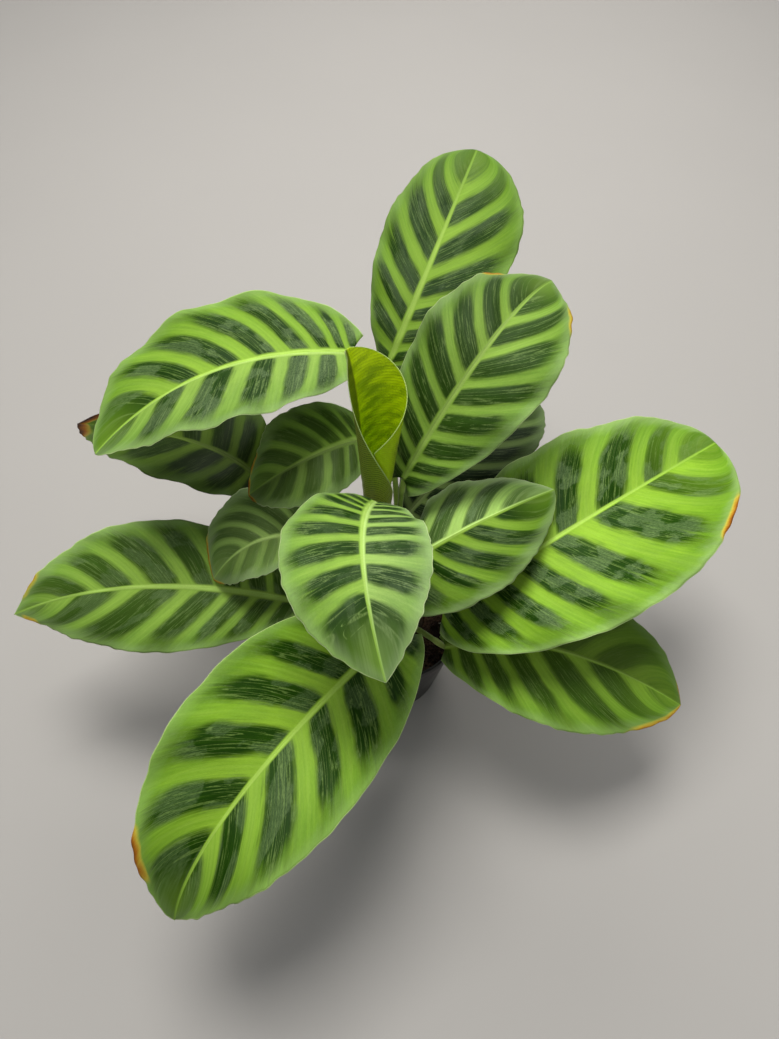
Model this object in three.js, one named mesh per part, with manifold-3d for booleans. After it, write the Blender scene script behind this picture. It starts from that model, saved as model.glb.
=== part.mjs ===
// A zebra-striped calathea in a small nursery pot.
//
// Units are millimetres and +Z is up. The origin is the middle of the pot's flat underside, and -Y is the
// front. The plant has thirteen open leaves and one young leaf that is still rolled. Each leaf is a blade
// on a stalk, the stalks stand in plain holes in the crown, and the crown stands in a hole in the soil.

import * as THREE from 'three';
import { mergeVertices } from 'three/addons/utils/BufferGeometryUtils.js';
import Module from 'manifold-3d';

const wasm = await Module();
wasm.setup();

// Driving dimensions.
const CLEARANCE = 0.3; // between pieces that touch
const SEAT_GAP = 0.5; // between a stalk's end and its blade, whose base is curved

const POT_HEIGHT = 115;
const POT_TOP_RADIUS = 63; // of the wall, under the rim
const POT_FOOT_RADIUS = 47;
const POT_WALL = 1.6;
const POT_FLOOR = 2;
const RIM_RADIUS = 66;
const RIM_HEIGHT = 9;
const FOOT_CHANNEL_INNER = 26; // shallow ring in the underside, where the drainage holes are
const FOOT_CHANNEL_OUTER = 38;
const FOOT_CHANNEL_DEPTH = 1.5;
const DRAIN_HOLES = 6;
const DRAIN_HOLE_RADIUS = 4;
const POT_SIDES = 32;

const SOIL_LEVEL = 101; // mean height of the top of the soil
const SOIL_LUMP = 1.6; // how far lumps rise above it or fall below it
const SOIL_SIDES = 32;

const CROWN_RADIUS = 30;
const CROWN_BOTTOM = 80;
const CROWN_TOP = 109;
const CROWN_EDGE_TOP = 102;
const CROWN_SIDES = 28;

const STALK_FOOT = 88; // height of the lower end of every stalk, inside its hole
const STALK_BOTTOM_RADIUS = 3;
const STALK_TOP_RADIUS = 1.9;
const STALK_SIDES = 7;
const STALK_STEPS = 6;
const STALK_RISE = 0.45; // share of the span over which it still heads straight up
const STALK_NOD = 0.06; // share of the span over which it turns to the blade's own direction
const PULVINUS_RADIUS = 2.4; // the swollen joint under the blade
const PULVINUS_LENGTH = 14;

const BLADE_THICKNESS = 0.8;
const MIDRIB_BASE_DEPTH = 2.6; // how far the midrib stands out under the blade
const MIDRIB_TIP_DEPTH = 0.4;
const MIDRIB_HALF_WIDTH = 2; // at the base of the blade
const STALK_DROP = 1.3; // how far the stalk's end lies under the start of the midrib
const MIN_HALF_WIDTH = 1.2; // of a blade at its very tip
const BLADE_STEPS = 16; // along the midrib
const BASE_START = 0.02; // share of the length by which the outline starts before the midrib does
const BASE_LOBE = 0.03; // share of the length that the base lobes reach back
const LOBE_FADE = 6; // how soon the lobes fade out along the blade
const VEIN_SWEEP = 0.13; // share of the length that side veins run forward on their way to the margin
const SWEEP_EARLINESS = 0.85; // below 1, the veins sweep most before the middle of the blade
const VEIN_CURVE = 1.6; // how late on their way they turn forward
const WAVE_RISE = 2.2; // how closely the waves keep to the margin
const LEFT_WAVE_SHIFT = 0.37; // of a wave, by which the left margin runs ahead of the right one
const MIDRIB_THINNING = 0.6; // share of its width that the midrib loses on its way to the tip
const MOST_MIDRIB_SHARE = 0.4; // of the half width, where the blade is as narrow as its midrib

const SHEET_LAYOUT = [-1, -0.8, -0.45, 'left rib edge', 0, 'right rib edge', 0.45, 0.8, 1];

// Open leaves. base, mid and tip are points of the midrib, and root is where the stalk stands in the crown.
// fold is how far each half rises from the midrib, and droop is how far it bends back down towards its
// margin; roll turns the whole blade about its midrib, right side up, and twist adds to the roll towards
// the tip; all in degrees. shoulder, belly and point shape the outline: a larger shoulder is a narrower
// base, a larger belly puts the widest place further out, and a larger point is a sharper tip. lean is the
// share by which the right half is wider than the left.
const OPEN_LEAVES = [
  {
    name: 'leaf_left_high', root: [0, 25], base: [-25, 83, 336], mid: [-122, 65, 335], tip: [-198, 18, 306],
    width: 109, fold: 15, droop: 13, roll: 14, twist: -26, shoulder: 0.54, belly: 1.5, point: 0.7, lean: 0.03,
    waves: 4, wave: 3, phase: 0.1,
  },
  {
    name: 'leaf_left_under', root: [-22, 13], base: [-108, 68, 214], mid: [-164, 93, 230], tip: [-280, 150, 184],
    width: 104, fold: 15, droop: 14, roll: -5, twist: -3, shoulder: 0.5, belly: 2, point: 0.85, lean: 0.05,
    waves: 4, wave: 2.5, phase: 0.5,
  },
  {
    name: 'leaf_left_inner', root: [-14, 14], base: [-17, 60, 273], mid: [-56, 36, 281], tip: [-106, 31, 240],
    width: 70, fold: 16, droop: 12, roll: 38, twist: -16, shoulder: 0.54, belly: 2.4, point: 0.8, lean: 0.05,
    waves: 3, wave: 2, phase: 0.3,
  },
  {
    name: 'leaf_left_small', root: [-20, -5], base: [-47, 12, 203], mid: [-94, -1, 228], tip: [-134, -18, 198],
    width: 76, fold: 20, droop: 18, roll: -2, twist: 6, shoulder: 0.5, belly: 2.6, point: 0.8, lean: 0.16,
    waves: 3, wave: 2, phase: 0.7,
  },
  {
    name: 'leaf_left_low', root: [-17, -14], base: [-78, -24, 176], mid: [-192, -22, 194], tip: [-300, -27, 158],
    width: 103, fold: 12, droop: 27, roll: 15, twist: 22, shoulder: 0.55, belly: 1.9, point: 1, lean: 0.02,
    waves: 4, wave: 3, phase: 0.8,
  },
  {
    name: 'leaf_front_long', root: [-1, -20], base: [4, -52, 178], mid: [-92, -178, 211], tip: [-138, -246, 160],
    width: 130, fold: 18, droop: 5, roll: 10, twist: 5, shoulder: 0.57, belly: 1.2, point: 1, lean: 0.04,
    waves: 4, wave: 3, phase: 0.2,
  },
  {
    name: 'leaf_front_high', root: [-8, -9], base: [-10, 0, 276], mid: [-16, -68, 320], tip: [-2, -141, 298],
    width: 92, fold: 14, droop: 18, roll: 5, twist: -10, shoulder: 0.52, belly: 2.8, point: 0.9, lean: 0.09,
    waves: 4, wave: 2, phase: 0.6,
  },
  {
    name: 'leaf_right_inner', root: [6, -8], base: [-4, -19, 200], mid: [50, -14, 260], tip: [121, 27, 253],
    width: 95, fold: 6, droop: 40, roll: 3, twist: -14, shoulder: 0.45, belly: 1.6, point: 0.68, lean: 0.07,
    waves: 4, wave: 2, phase: 0.4,
  },
  {
    name: 'leaf_back_right_high', root: [6, 8], base: [10, 24, 271], mid: [66, 76, 350], tip: [117, 146, 346],
    width: 101, fold: 11, droop: 27, roll: -5, twist: -6, shoulder: 0.6, belly: 1.5, point: 0.8, lean: 0.03,
    waves: 4, wave: 2.5, phase: 0.9,
  },
  {
    name: 'leaf_back', root: [10, 19], base: [0, 112, 300], mid: [33, 182, 340], tip: [73, 310, 347],
    width: 106, fold: 10, droop: 30, roll: -1, twist: -6, shoulder: 0.6, belly: 2.7, point: 0.5, lean: 0.12,
    waves: 4, wave: 2.5, phase: 0.25,
  },
  {
    name: 'leaf_right_broad', root: [19, -7], base: [41, -34, 179], mid: [131, 2, 236], tip: [267, 97, 222],
    width: 147, fold: 14, droop: 18, roll: -5, twist: -3, shoulder: 0.53, belly: 1.8, point: 0.5, lean: 0.09,
    waves: 5, wave: 3.5, phase: 0.55,
  },
  {
    name: 'leaf_right_low', root: [14, -17], base: [45, -48, 142], mid: [128, -61, 166], tip: [233, -87, 117],
    width: 114, fold: 11, droop: 25, roll: -10, twist: -4, shoulder: 0.6, belly: 2.2, point: 0.7, lean: 0.03,
    waves: 4, wave: 3, phase: 0.35,
  },
  {
    name: 'leaf_back_right_under', root: [18, 17], base: [11, 55, 170], mid: [67, 95, 215], tip: [131, 166, 197],
    width: 86, fold: 13, droop: 23, roll: 0, twist: 0, shoulder: 0.5, belly: 2.3, point: 0.7, lean: 0,
    waves: 4, wave: 2, phase: 0.15,
  },
];

// The young leaf. Its blade is a scroll round a nearly upright axis. facing is where its midrib stands,
// and reach how far each half goes round from there, in radians, to the left of the back being negative.
// Each half starts to narrow to the tip at its opening, a share of the length below the tip.
const ROLLED = {
  name: 'leaf_rolled',
  root: [-12, 3],
  base: [-11, 12, 196],
  top: [-5, 35, 374],
  baseRadius: 4.5,
  topRadius: 19.5,
  flare: 6, // extra radius at the very tip, which bends outwards
  flareCurve: 8, // how late towards the tip it starts
  facing: -1,
  reach: { left: 4.2, right: 4.4, tip: 0.12 },
  opening: { left: 0.75, right: 0.36 },
  bluntness: { left: 1.1, right: 0.75 }, // below 1 for a blunt tip
  spiral: -0.36, // growth of the radius for each radian, which keeps the layers apart
  steps: 16,
  turns: 16, // steps round the scroll
};

const LEAF_GREEN = 0x4f8a2e;
const DEEP_LEAF_GREEN = 0x2f6129;
const YOUNG_LEAF_GREEN = 0x9cba3c;
const STALK_GREEN = 0x76883a;
const CROWN_BROWN = 0x6b5a34;
const SOIL_BROWN = 0x2b1d16;
const POT_BLACK = 0x1c1a1b;

const LEAF_FINISH = { roughness: 0.5, metalness: 0 };
const MATT_FINISH = { roughness: 0.95, metalness: 0 };
const POT_FINISH = { roughness: 0.4, metalness: 0 };

const degrees = THREE.MathUtils.degToRad;
const vector = (point) => new THREE.Vector3(...point);

// A mesh with shared vertices, named as its piece.
function piece(name, geometry, colour, finish) {
  const material = new THREE.MeshStandardMaterial({ color: colour, ...finish });
  const mesh = new THREE.Mesh(geometry, material);
  mesh.name = name;
  return mesh;
}

function merged(geometry) {
  geometry.deleteAttribute('normal');
  geometry.deleteAttribute('uv');
  return mergeVertices(geometry, 1e-4);
}

function indexed(points, triangles) {
  const geometry = new THREE.BufferGeometry().setFromPoints(points);
  geometry.setIndex(triangles);
  return geometry;
}

function toSolid(geometry) {
  return new wasm.Manifold(new wasm.Mesh({
    numProp: 3,
    vertProperties: new Float32Array(geometry.attributes.position.array),
    triVerts: new Uint32Array(geometry.index.array),
  }));
}

// One geometry with each of the cutters taken out of it.
function cut(body, cutters) {
  let solid = toSolid(body);
  for (const cutter of cutters) solid = solid.subtract(toSolid(cutter));
  const mesh = solid.getMesh();
  const geometry = new THREE.BufferGeometry();
  geometry.setAttribute('position', new THREE.BufferAttribute(new Float32Array(mesh.vertProperties), 3));
  geometry.setIndex([...mesh.triVerts]);
  return geometry;
}

// A body turned from a profile of [radius, height] points, which starts and ends on the axis or closes.
function turned(profile, sides) {
  const points = profile.map(([radius, height]) => new THREE.Vector2(radius, height));
  return merged(new THREE.LatheGeometry(points, sides).rotateX(Math.PI / 2));
}

function uprightCylinder(radius, sides, x, y, bottom, top) {
  const geometry = new THREE.CylinderGeometry(radius, radius, top - bottom, sides);
  return merged(geometry.rotateX(Math.PI / 2).translate(x, y, (bottom + top) / 2));
}

// A closed body with a section ring at each step of its length, and a flat cap at each end.
function lofted(rings) {
  const sides = rings[0].length;
  const last = (rings.length - 1) * sides;
  const triangles = [];
  for (let step = 0; step < rings.length - 1; step += 1) {
    for (let side = 0; side < sides; side += 1) {
      const a = step * sides + side;
      const b = step * sides + ((side + 1) % sides);
      triangles.push(a, b, a + sides, b, b + sides, a + sides);
    }
  }
  for (let side = 1; side < sides - 1; side += 1) {
    triangles.push(0, side + 1, side, last, last + side, last + side + 1);
  }
  return indexed(rings.flat(), triangles);
}

// A closed sheet from rows of its upper and lower points. Both faces are split into triangles alike.
function sheet(upper, lower) {
  const rows = upper.length;
  const columns = upper[0].length;
  const count = rows * columns;
  const at = (row, column) => row * columns + column;
  const triangles = [];
  const wall = (a, b) => triangles.push(a, b + count, b, a, a + count, b + count);
  for (let row = 0; row < rows - 1; row += 1) {
    for (let column = 0; column < columns - 1; column += 1) {
      const [a, b] = [at(row, column), at(row, column + 1)];
      const [c, d] = [at(row + 1, column), at(row + 1, column + 1)];
      triangles.push(a, b, d, a, d, c);
      triangles.push(a + count, d + count, b + count, a + count, c + count, d + count);
    }
    wall(at(row + 1, 0), at(row, 0));
    wall(at(row, columns - 1), at(row + 1, columns - 1));
  }
  for (let column = 0; column < columns - 1; column += 1) {
    wall(at(0, column), at(0, column + 1));
    wall(at(rows - 1, column + 1), at(rows - 1, column));
  }
  return indexed([...upper.flat(), ...lower.flat()], triangles);
}

// The midrib is a quadratic curve through mid, run on in a straight line before the base.
function midribOf(leaf) {
  const [base, mid, tip] = [vector(leaf.base), vector(leaf.mid), vector(leaf.tip)];
  const control = mid.clone().multiplyScalar(2).addScaledVector(base, -0.5).addScaledVector(tip, -0.5);
  const curve = new THREE.QuadraticBezierCurve3(base, control, tip);
  const start = control.clone().sub(base).multiplyScalar(2);
  return {
    pointAt: (share) => curve.getPoint(Math.max(share, 0)).addScaledVector(start, Math.min(share, 0)),
    tangentAt: (share) => curve.getTangent(Math.max(share, 0)),
  };
}

// The right-hand and upward directions of a blade at a share of its midrib.
function bladeAxes(leaf, tangent, share) {
  const side = new THREE.Vector3().crossVectors(tangent, new THREE.Vector3(0, 0, 1)).normalize();
  const up = new THREE.Vector3().crossVectors(side, tangent);
  const angle = degrees(leaf.roll + leaf.twist * Math.max(share, 0));
  return {
    right: side.clone().multiplyScalar(Math.cos(angle)).addScaledVector(up, Math.sin(angle)),
    up: up.clone().multiplyScalar(Math.cos(angle)).addScaledVector(side, -Math.sin(angle)),
  };
}

// The half width at a share of the length, as a share of the greatest half width.
function outlineAt(leaf, share) {
  const { shoulder, belly, point } = leaf;
  const start = BASE_START + BASE_LOBE;
  const along = THREE.MathUtils.clamp((share + start) / (1 + start), 0, 1);
  const widest = (shoulder / (shoulder + point * belly)) ** (1 / belly);
  const full = widest ** shoulder * (1 - widest ** belly) ** point;
  return (along ** shoulder * Math.max(1 - along ** belly, 0) ** point) / full;
}

// A point of an open blade's middle surface: along runs from 0 at the base to 1 at the tip, and across
// from -1 at the left margin to 1 at the right one.
function bladePoint(leaf, midrib, along, across) {
  const out = Math.abs(across);
  const hand = Math.sign(across);
  const forward = VEIN_SWEEP * Math.sin(Math.PI * along ** SWEEP_EARLINESS);
  const sweep = forward - BASE_LOBE * (1 - along) ** LOBE_FADE;
  const place = along + sweep;
  const share = along + sweep * out ** VEIN_CURVE;
  const half = Math.max((leaf.width / 2) * outlineAt(leaf, place) * (1 + hand * leaf.lean), MIN_HALF_WIDTH);
  const fold = degrees(leaf.fold);
  const droop = degrees(leaf.droop);
  const reach = (half * (Math.sin(fold) - Math.sin(fold - droop * out))) / droop;
  const swell = Math.sqrt(Math.sin(Math.PI * THREE.MathUtils.clamp(place, 0, 1)));
  const turn = leaf.waves * place + leaf.phase + (hand < 0 ? LEFT_WAVE_SHIFT : 0);
  const waved = leaf.wave * out ** WAVE_RISE * swell * Math.sin(2 * Math.PI * turn);
  const rise = (half * (Math.cos(fold - droop * out) - Math.cos(fold))) / droop + waved;
  const { right, up } = bladeAxes(leaf, midrib.tangentAt(share), share);
  return midrib.pointAt(share).addScaledVector(right, hand * reach).addScaledVector(up, rise);
}

// Upward unit normals of rows of points, from their neighbours.
function normalsOf(rows) {
  return rows.map((row, i) => row.map((_, j) => {
    const along = rows[Math.min(i + 1, rows.length - 1)][j].clone().sub(rows[Math.max(i - 1, 0)][j]);
    const across = row[Math.min(j + 1, row.length - 1)].clone().sub(row[Math.max(j - 1, 0)]);
    return across.cross(along).normalize();
  }));
}

function openBlade(leaf) {
  const midrib = midribOf(leaf);
  const rows = [];
  const ribDepths = [];
  for (let step = 0; step <= BLADE_STEPS; step += 1) {
    const even = step / BLADE_STEPS;
    const along = (even + 0.5 - 0.5 * Math.cos(Math.PI * even)) / 2; // closer rows at both ends
    const half = Math.max((leaf.width / 2) * outlineAt(leaf, along), MIN_HALF_WIDTH);
    const ribHalf = MIDRIB_HALF_WIDTH * (1 - MIDRIB_THINNING * along);
    const ribEdge = Math.min(ribHalf / half, MOST_MIDRIB_SHARE);
    const columns = { 'left rib edge': -ribEdge, 'right rib edge': ribEdge };
    rows.push(SHEET_LAYOUT.map((across) => bladePoint(leaf, midrib, along, columns[across] ?? across)));
    ribDepths.push(THREE.MathUtils.lerp(MIDRIB_BASE_DEPTH, MIDRIB_TIP_DEPTH, along));
  }
  const normals = normalsOf(rows);
  const middle = (SHEET_LAYOUT.length - 1) / 2;
  const offset = (side) => rows.map((row, i) => row.map((point, j) => {
    const rib = side < 0 && j === middle ? ribDepths[i] : 0;
    return point.clone().addScaledVector(normals[i][j], side * (BLADE_THICKNESS / 2 + rib));
  }));
  return sheet(offset(1), offset(-1));
}

// How far a half of the rolled blade reaches round at a share of its length.
function rolledReach(leaf, along, hand) {
  const closed = Math.min((1 - along) / leaf.opening[hand], 1) ** leaf.bluntness[hand];
  return Math.max(leaf.reach[hand] * closed, leaf.reach.tip);
}

// The rolled blade: a spiral section whose radius grows upwards. The left half wraps round outside.
function rolledBlade(leaf) {
  const [base, top] = [vector(leaf.base), vector(leaf.top)];
  const axis = top.clone().sub(base).normalize();
  const back = new THREE.Vector3(0, 1, 0).addScaledVector(axis, -axis.y).normalize();
  const right = new THREE.Vector3().crossVectors(back, axis);
  const rows = [];
  for (let step = 0; step <= leaf.steps; step += 1) {
    const along = step / leaf.steps;
    const straight = THREE.MathUtils.lerp(leaf.baseRadius, leaf.topRadius, along);
    const radius = straight + leaf.flare * along ** leaf.flareCurve;
    const [left, end] = [-rolledReach(leaf, along, 'left'), rolledReach(leaf, along, 'right')];
    const row = [];
    for (let turn = 0; turn <= leaf.turns; turn += 1) {
      const angle = THREE.MathUtils.lerp(left, end, turn / leaf.turns);
      const distance = radius + leaf.spiral * angle;
      row.push(base.clone().lerp(top, along)
        .addScaledVector(right, distance * Math.sin(angle + leaf.facing))
        .addScaledVector(back, distance * Math.cos(angle + leaf.facing)));
    }
    rows.push(row);
  }
  const normals = normalsOf(rows);
  const offset = (side) => rows.map((row, i) => row.map((point, j) => (
    point.clone().addScaledVector(normals[i][j], (side * BLADE_THICKNESS) / 2)
  )));
  return sheet(offset(1), offset(-1));
}

// A stalk goes straight up out of its hole and bends over to meet its blade along the blade's midrib.
function stalk(root, end, direction) {
  const foot = new THREE.Vector3(root[0], root[1], STALK_FOOT);
  const collar = new THREE.Vector3(root[0], root[1], CROWN_TOP);
  const span = collar.distanceTo(end);
  const bend = new THREE.CubicBezierCurve3(
    collar,
    collar.clone().add(new THREE.Vector3(0, 0, STALK_RISE * span)),
    end.clone().addScaledVector(direction, -STALK_NOD * span),
    end,
  );
  const length = bend.getLength();
  const sections = [{ centre: foot, heading: new THREE.Vector3(0, 0, 1), radius: STALK_BOTTOM_RADIUS }];
  const shares = Array.from({ length: STALK_STEPS }, (_, step) => step / STALK_STEPS);
  shares.push(1 - PULVINUS_LENGTH / length, 1 - PULVINUS_LENGTH / length / 2, 1);
  for (const share of [...new Set(shares)].sort((a, b) => a - b)) {
    const toBlade = THREE.MathUtils.clamp(((1 - share) * length) / PULVINUS_LENGTH, 0, 1);
    const taper = THREE.MathUtils.lerp(STALK_BOTTOM_RADIUS, STALK_TOP_RADIUS, share);
    const swelling = (PULVINUS_RADIUS - STALK_TOP_RADIUS) * Math.sin(Math.PI * (1 - toBlade) ** 0.7);
    sections.push({
      centre: bend.getPointAt(share),
      heading: bend.getTangentAt(share),
      radius: taper + Math.max(swelling, 0),
    });
  }
  let side = new THREE.Vector3(1, 0, 0);
  const rings = sections.map(({ centre, heading, radius }) => {
    side = side.clone().addScaledVector(heading, -side.dot(heading)).normalize();
    const other = new THREE.Vector3().crossVectors(heading, side);
    return Array.from({ length: STALK_SIDES }, (_, corner) => {
      const angle = (2 * Math.PI * corner) / STALK_SIDES;
      return centre.clone()
        .addScaledVector(side, radius * Math.cos(angle))
        .addScaledVector(other, radius * Math.sin(angle));
    });
  });
  return lofted(rings);
}

// Tapered wall, rim band and flat foot, with drainage holes round a shallow channel in the underside.
function pot() {
  const rimBottom = POT_HEIGHT - RIM_HEIGHT;
  const body = turned([
    [0, 0],
    [FOOT_CHANNEL_INNER, 0],
    [FOOT_CHANNEL_INNER + 1, FOOT_CHANNEL_DEPTH],
    [FOOT_CHANNEL_OUTER - 1, FOOT_CHANNEL_DEPTH],
    [FOOT_CHANNEL_OUTER, 0],
    [POT_FOOT_RADIUS - 1, 0],
    [POT_FOOT_RADIUS, 1],
    [POT_TOP_RADIUS, rimBottom],
    [RIM_RADIUS - 0.6, rimBottom],
    [RIM_RADIUS, rimBottom + 0.6],
    [RIM_RADIUS, POT_HEIGHT - 0.8],
    [RIM_RADIUS - 0.8, POT_HEIGHT],
    [RIM_RADIUS - 1.8, POT_HEIGHT],
    [RIM_RADIUS - 2.6, POT_HEIGHT - 0.8],
    [RIM_RADIUS - 2.6, rimBottom + 2],
    [POT_TOP_RADIUS - POT_WALL, rimBottom],
    [POT_FOOT_RADIUS - POT_WALL, FOOT_CHANNEL_DEPTH + POT_FLOOR],
    [0, FOOT_CHANNEL_DEPTH + POT_FLOOR],
  ], POT_SIDES);
  const holes = Array.from({ length: DRAIN_HOLES }, (_, hole) => {
    const angle = (2 * Math.PI * (hole + 0.5)) / DRAIN_HOLES;
    const radius = (FOOT_CHANNEL_INNER + FOOT_CHANNEL_OUTER) / 2;
    return uprightCylinder(DRAIN_HOLE_RADIUS, 16, radius * Math.cos(angle), radius * Math.sin(angle), -1, 6);
  });
  return cut(body, holes);
}

// Lumps in the soil and the crown, from 1 down to -1.
function lumps(x, y) {
  return (Math.sin(0.21 * x + 1.3) * Math.sin(0.24 * y - 0.7)
    + 0.6 * Math.sin(0.43 * x - 0.35 * y) + 0.4 * Math.cos(0.37 * x + 0.52 * y + 2)) / 2;
}

// Moves every vertex at or above a level by the lumps there.
function roughened(geometry, level, height) {
  const position = geometry.attributes.position;
  for (let i = 0; i < position.count; i += 1) {
    const lump = height * lumps(position.getX(i), position.getY(i));
    if (position.getZ(i) >= level) position.setZ(i, position.getZ(i) + lump);
  }
  return geometry;
}

// The plug of potting mix inside the pot, with one plain hole for the crown.
function soil() {
  const bottom = FOOT_CHANNEL_DEPTH + POT_FLOOR + CLEARANCE;
  const slope = (POT_TOP_RADIUS - POT_FOOT_RADIUS) / (POT_HEIGHT - RIM_HEIGHT);
  const inside = (height) => POT_FOOT_RADIUS - POT_WALL - 2 * CLEARANCE + slope * height;
  const shares = [1, 0.85, 0.7, 0.55, 0.3];
  const body = turned([
    [0, bottom],
    [inside(0) - 1, bottom],
    [inside(SOIL_LEVEL - 6), SOIL_LEVEL - 6],
    ...shares.map((share) => [inside(SOIL_LEVEL - 4) * share, SOIL_LEVEL]),
    [0, SOIL_LEVEL],
  ], SOIL_SIDES);
  const hole = uprightCylinder(
    CROWN_RADIUS + CLEARANCE, CROWN_SIDES, 0, 0, CROWN_BOTTOM - CLEARANCE, CROWN_TOP + 10,
  );
  return cut(roughened(body, SOIL_LEVEL, SOIL_LUMP), [hole]);
}

// The low clump that the stalks grow from, with one plain hole for each stalk.
function crown(roots) {
  const rise = CROWN_TOP - CROWN_EDGE_TOP;
  const domed = (share) => [CROWN_RADIUS * share, CROWN_EDGE_TOP + rise * (1 - share ** 2)];
  const body = turned([
    [0, CROWN_BOTTOM],
    [CROWN_RADIUS, CROWN_BOTTOM],
    ...[1, 0.8, 0.55, 0.3].map(domed),
    [0, CROWN_TOP],
  ], CROWN_SIDES);
  const holes = roots.map(([x, y]) => uprightCylinder(
    STALK_BOTTOM_RADIUS + CLEARANCE, 16, x, y, STALK_FOOT - CLEARANCE, CROWN_TOP + 10,
  ));
  return cut(roughened(body, CROWN_EDGE_TOP, SOIL_LUMP / 2), holes);
}

// A blade and its stalk, which ends face to face with the start of the midrib.
function openLeaf(leaf, colour) {
  const midrib = midribOf(leaf);
  const heading = midrib.tangentAt(0);
  const { up } = bladeAxes(leaf, heading, 0);
  const end = midrib.pointAt(0).addScaledVector(heading, -SEAT_GAP).addScaledVector(up, -STALK_DROP);
  const group = new THREE.Group();
  group.add(piece(`${leaf.name}_blade`, openBlade(leaf), colour, LEAF_FINISH));
  group.add(piece(`${leaf.name}_stalk`, stalk(leaf.root, end, heading), STALK_GREEN, LEAF_FINISH));
  return group;
}

function rolledLeaf(leaf) {
  const axis = vector(leaf.top).sub(vector(leaf.base)).normalize();
  const end = vector(leaf.base).addScaledVector(axis, -SEAT_GAP);
  const group = new THREE.Group();
  group.add(piece(`${leaf.name}_blade`, rolledBlade(leaf), YOUNG_LEAF_GREEN, LEAF_FINISH));
  group.add(piece(`${leaf.name}_stalk`, stalk(leaf.root, end, axis), STALK_GREEN, LEAF_FINISH));
  return group;
}

const plant = new THREE.Group();
plant.add(piece('pot', pot(), POT_BLACK, POT_FINISH));
plant.add(piece('soil', soil(), SOIL_BROWN, MATT_FINISH));
plant.add(piece('crown', crown([...OPEN_LEAVES, ROLLED].map((leaf) => leaf.root)), CROWN_BROWN, MATT_FINISH));
for (const leaf of OPEN_LEAVES) {
  plant.add(openLeaf(leaf, leaf.name.endsWith('under') ? DEEP_LEAF_GREEN : LEAF_GREEN));
}
plant.add(rolledLeaf(ROLLED));

export default plant;
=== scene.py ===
# A potted calathea, dressed over its CAD model.
#
# The blades, stalks, crown, soil and pot of the frame are replaced by finer pieces of the same form, and
# veins, colour, loose crumbs and perlite are added. Sizes below are in millimetres, as in the CAD model, and
# turn to metres where a mesh is made. The left and right of a leaf are those of someone who looks from its
# base to its tip, and a blade's along runs from 0 at the base to 1 at the tip.

import functools
import math
import random

import bpy
import numpy as np
from bpy.props import FloatProperty, FloatVectorProperty, IntProperty, PointerProperty
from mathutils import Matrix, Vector, noise


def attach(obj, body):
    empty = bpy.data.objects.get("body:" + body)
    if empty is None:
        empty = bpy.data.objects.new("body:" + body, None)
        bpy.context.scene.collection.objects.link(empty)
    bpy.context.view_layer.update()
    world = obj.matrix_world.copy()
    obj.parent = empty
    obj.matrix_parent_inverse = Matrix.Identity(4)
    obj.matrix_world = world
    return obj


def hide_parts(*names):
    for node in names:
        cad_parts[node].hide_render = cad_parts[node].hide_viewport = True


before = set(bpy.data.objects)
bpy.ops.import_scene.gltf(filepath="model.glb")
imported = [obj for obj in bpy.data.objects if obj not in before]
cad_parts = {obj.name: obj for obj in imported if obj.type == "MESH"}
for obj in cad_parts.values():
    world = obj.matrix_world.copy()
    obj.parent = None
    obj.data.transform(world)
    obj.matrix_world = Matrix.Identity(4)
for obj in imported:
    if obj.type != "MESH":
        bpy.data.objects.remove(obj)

bl_info = {
    "name": "Potted calathea",
    "version": (1, 0, 0),
    "blender": (4, 5, 0),
    "location": "3D View > Sidebar > Calathea",
    "description": "Builds a zebra-striped calathea in a nursery pot",
    "category": "Add Mesh",
}

MM = 0.001
BODY = "root"

# Settings of shader nodes: a range with soft ends, and a mix of colours.
SMOOTH = dict(interpolation_type="SMOOTHSTEP")
COLOUR = dict(data_type="RGBA")

# Shape of the blades, as in the CAD model.
BASE_START = 0.02  # share of the length by which the outline starts before the midrib does
BASE_LOBE = 0.03  # share of the length that the base lobes reach back
LOBE_FADE = 6
VEIN_SWEEP = 0.13  # share of the length that side veins run forward on their way to the margin
SWEEP_EARLINESS = 0.85
VEIN_CURVE = 1.6
WAVE_RISE = 2.2  # how closely the waves keep to the margin
LEFT_WAVE_SHIFT = 0.37
MIDRIB_BASE_DEPTH = 2.6
MIDRIB_TIP_DEPTH = 0.4
MIDRIB_HALF_WIDTH = 2
MIDRIB_THINNING = 0.6  # share of its width that the midrib loses on its way to the tip
MOST_MIDRIB_SHARE = 0.4  # of the half width, where the blade is as narrow as its midrib

# Finer shape of the blades, which only this file has.
TIP_HALF_WIDTH = 0.35
MARGIN_THINNING = 0.45  # share of its thickness that a blade loses on its way to the margin
BLADE_ROWS = 132
HALF_COLUMNS = 33
RIB_COLUMNS = 4  # on each side of the midrib's crest
COLUMN_CROWDING = 0.95  # below 1, the columns stand closer near the margin
STILL_WIDTH = 15  # half width under which a blade has less and less of its small unevenness
VEINS_READ_AT = 0.85  # how far out the second place of each vein below is
VEIN_START = 0.78  # share of a vein's lean that it has from the midrib on
VEIN_BEND = 2.5  # how late the rest of its lean comes
LAST_BAND = 1.6  # how soon past the last vein the last dark band is at its darkest
FURROW_LEAN = 0.7  # below 1, the furrows are deepest nearer the midrib than the margin
FURROW_FULLNESS = 0.8  # below 1, they keep more of their depth toward both
POINT_SHARPNESS = 3
POINT_ZONE = 6  # how closely the points of the margin keep to it
PLEAT_ZONE = 7
PLEATS_PER_BAND = 2
MARGIN_WANDER = 0.25  # how far the margin wanders in and out
LEFT_BANDS = 40  # added to the left half's bands, so that they are drawn apart from the right half's
PATTERN_SHIFT = 7.3  # between the fine patterns of one leaf and the next
RIB_SINKING = 0.7  # share of its rise that the midrib loses on its way to the tip

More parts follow.
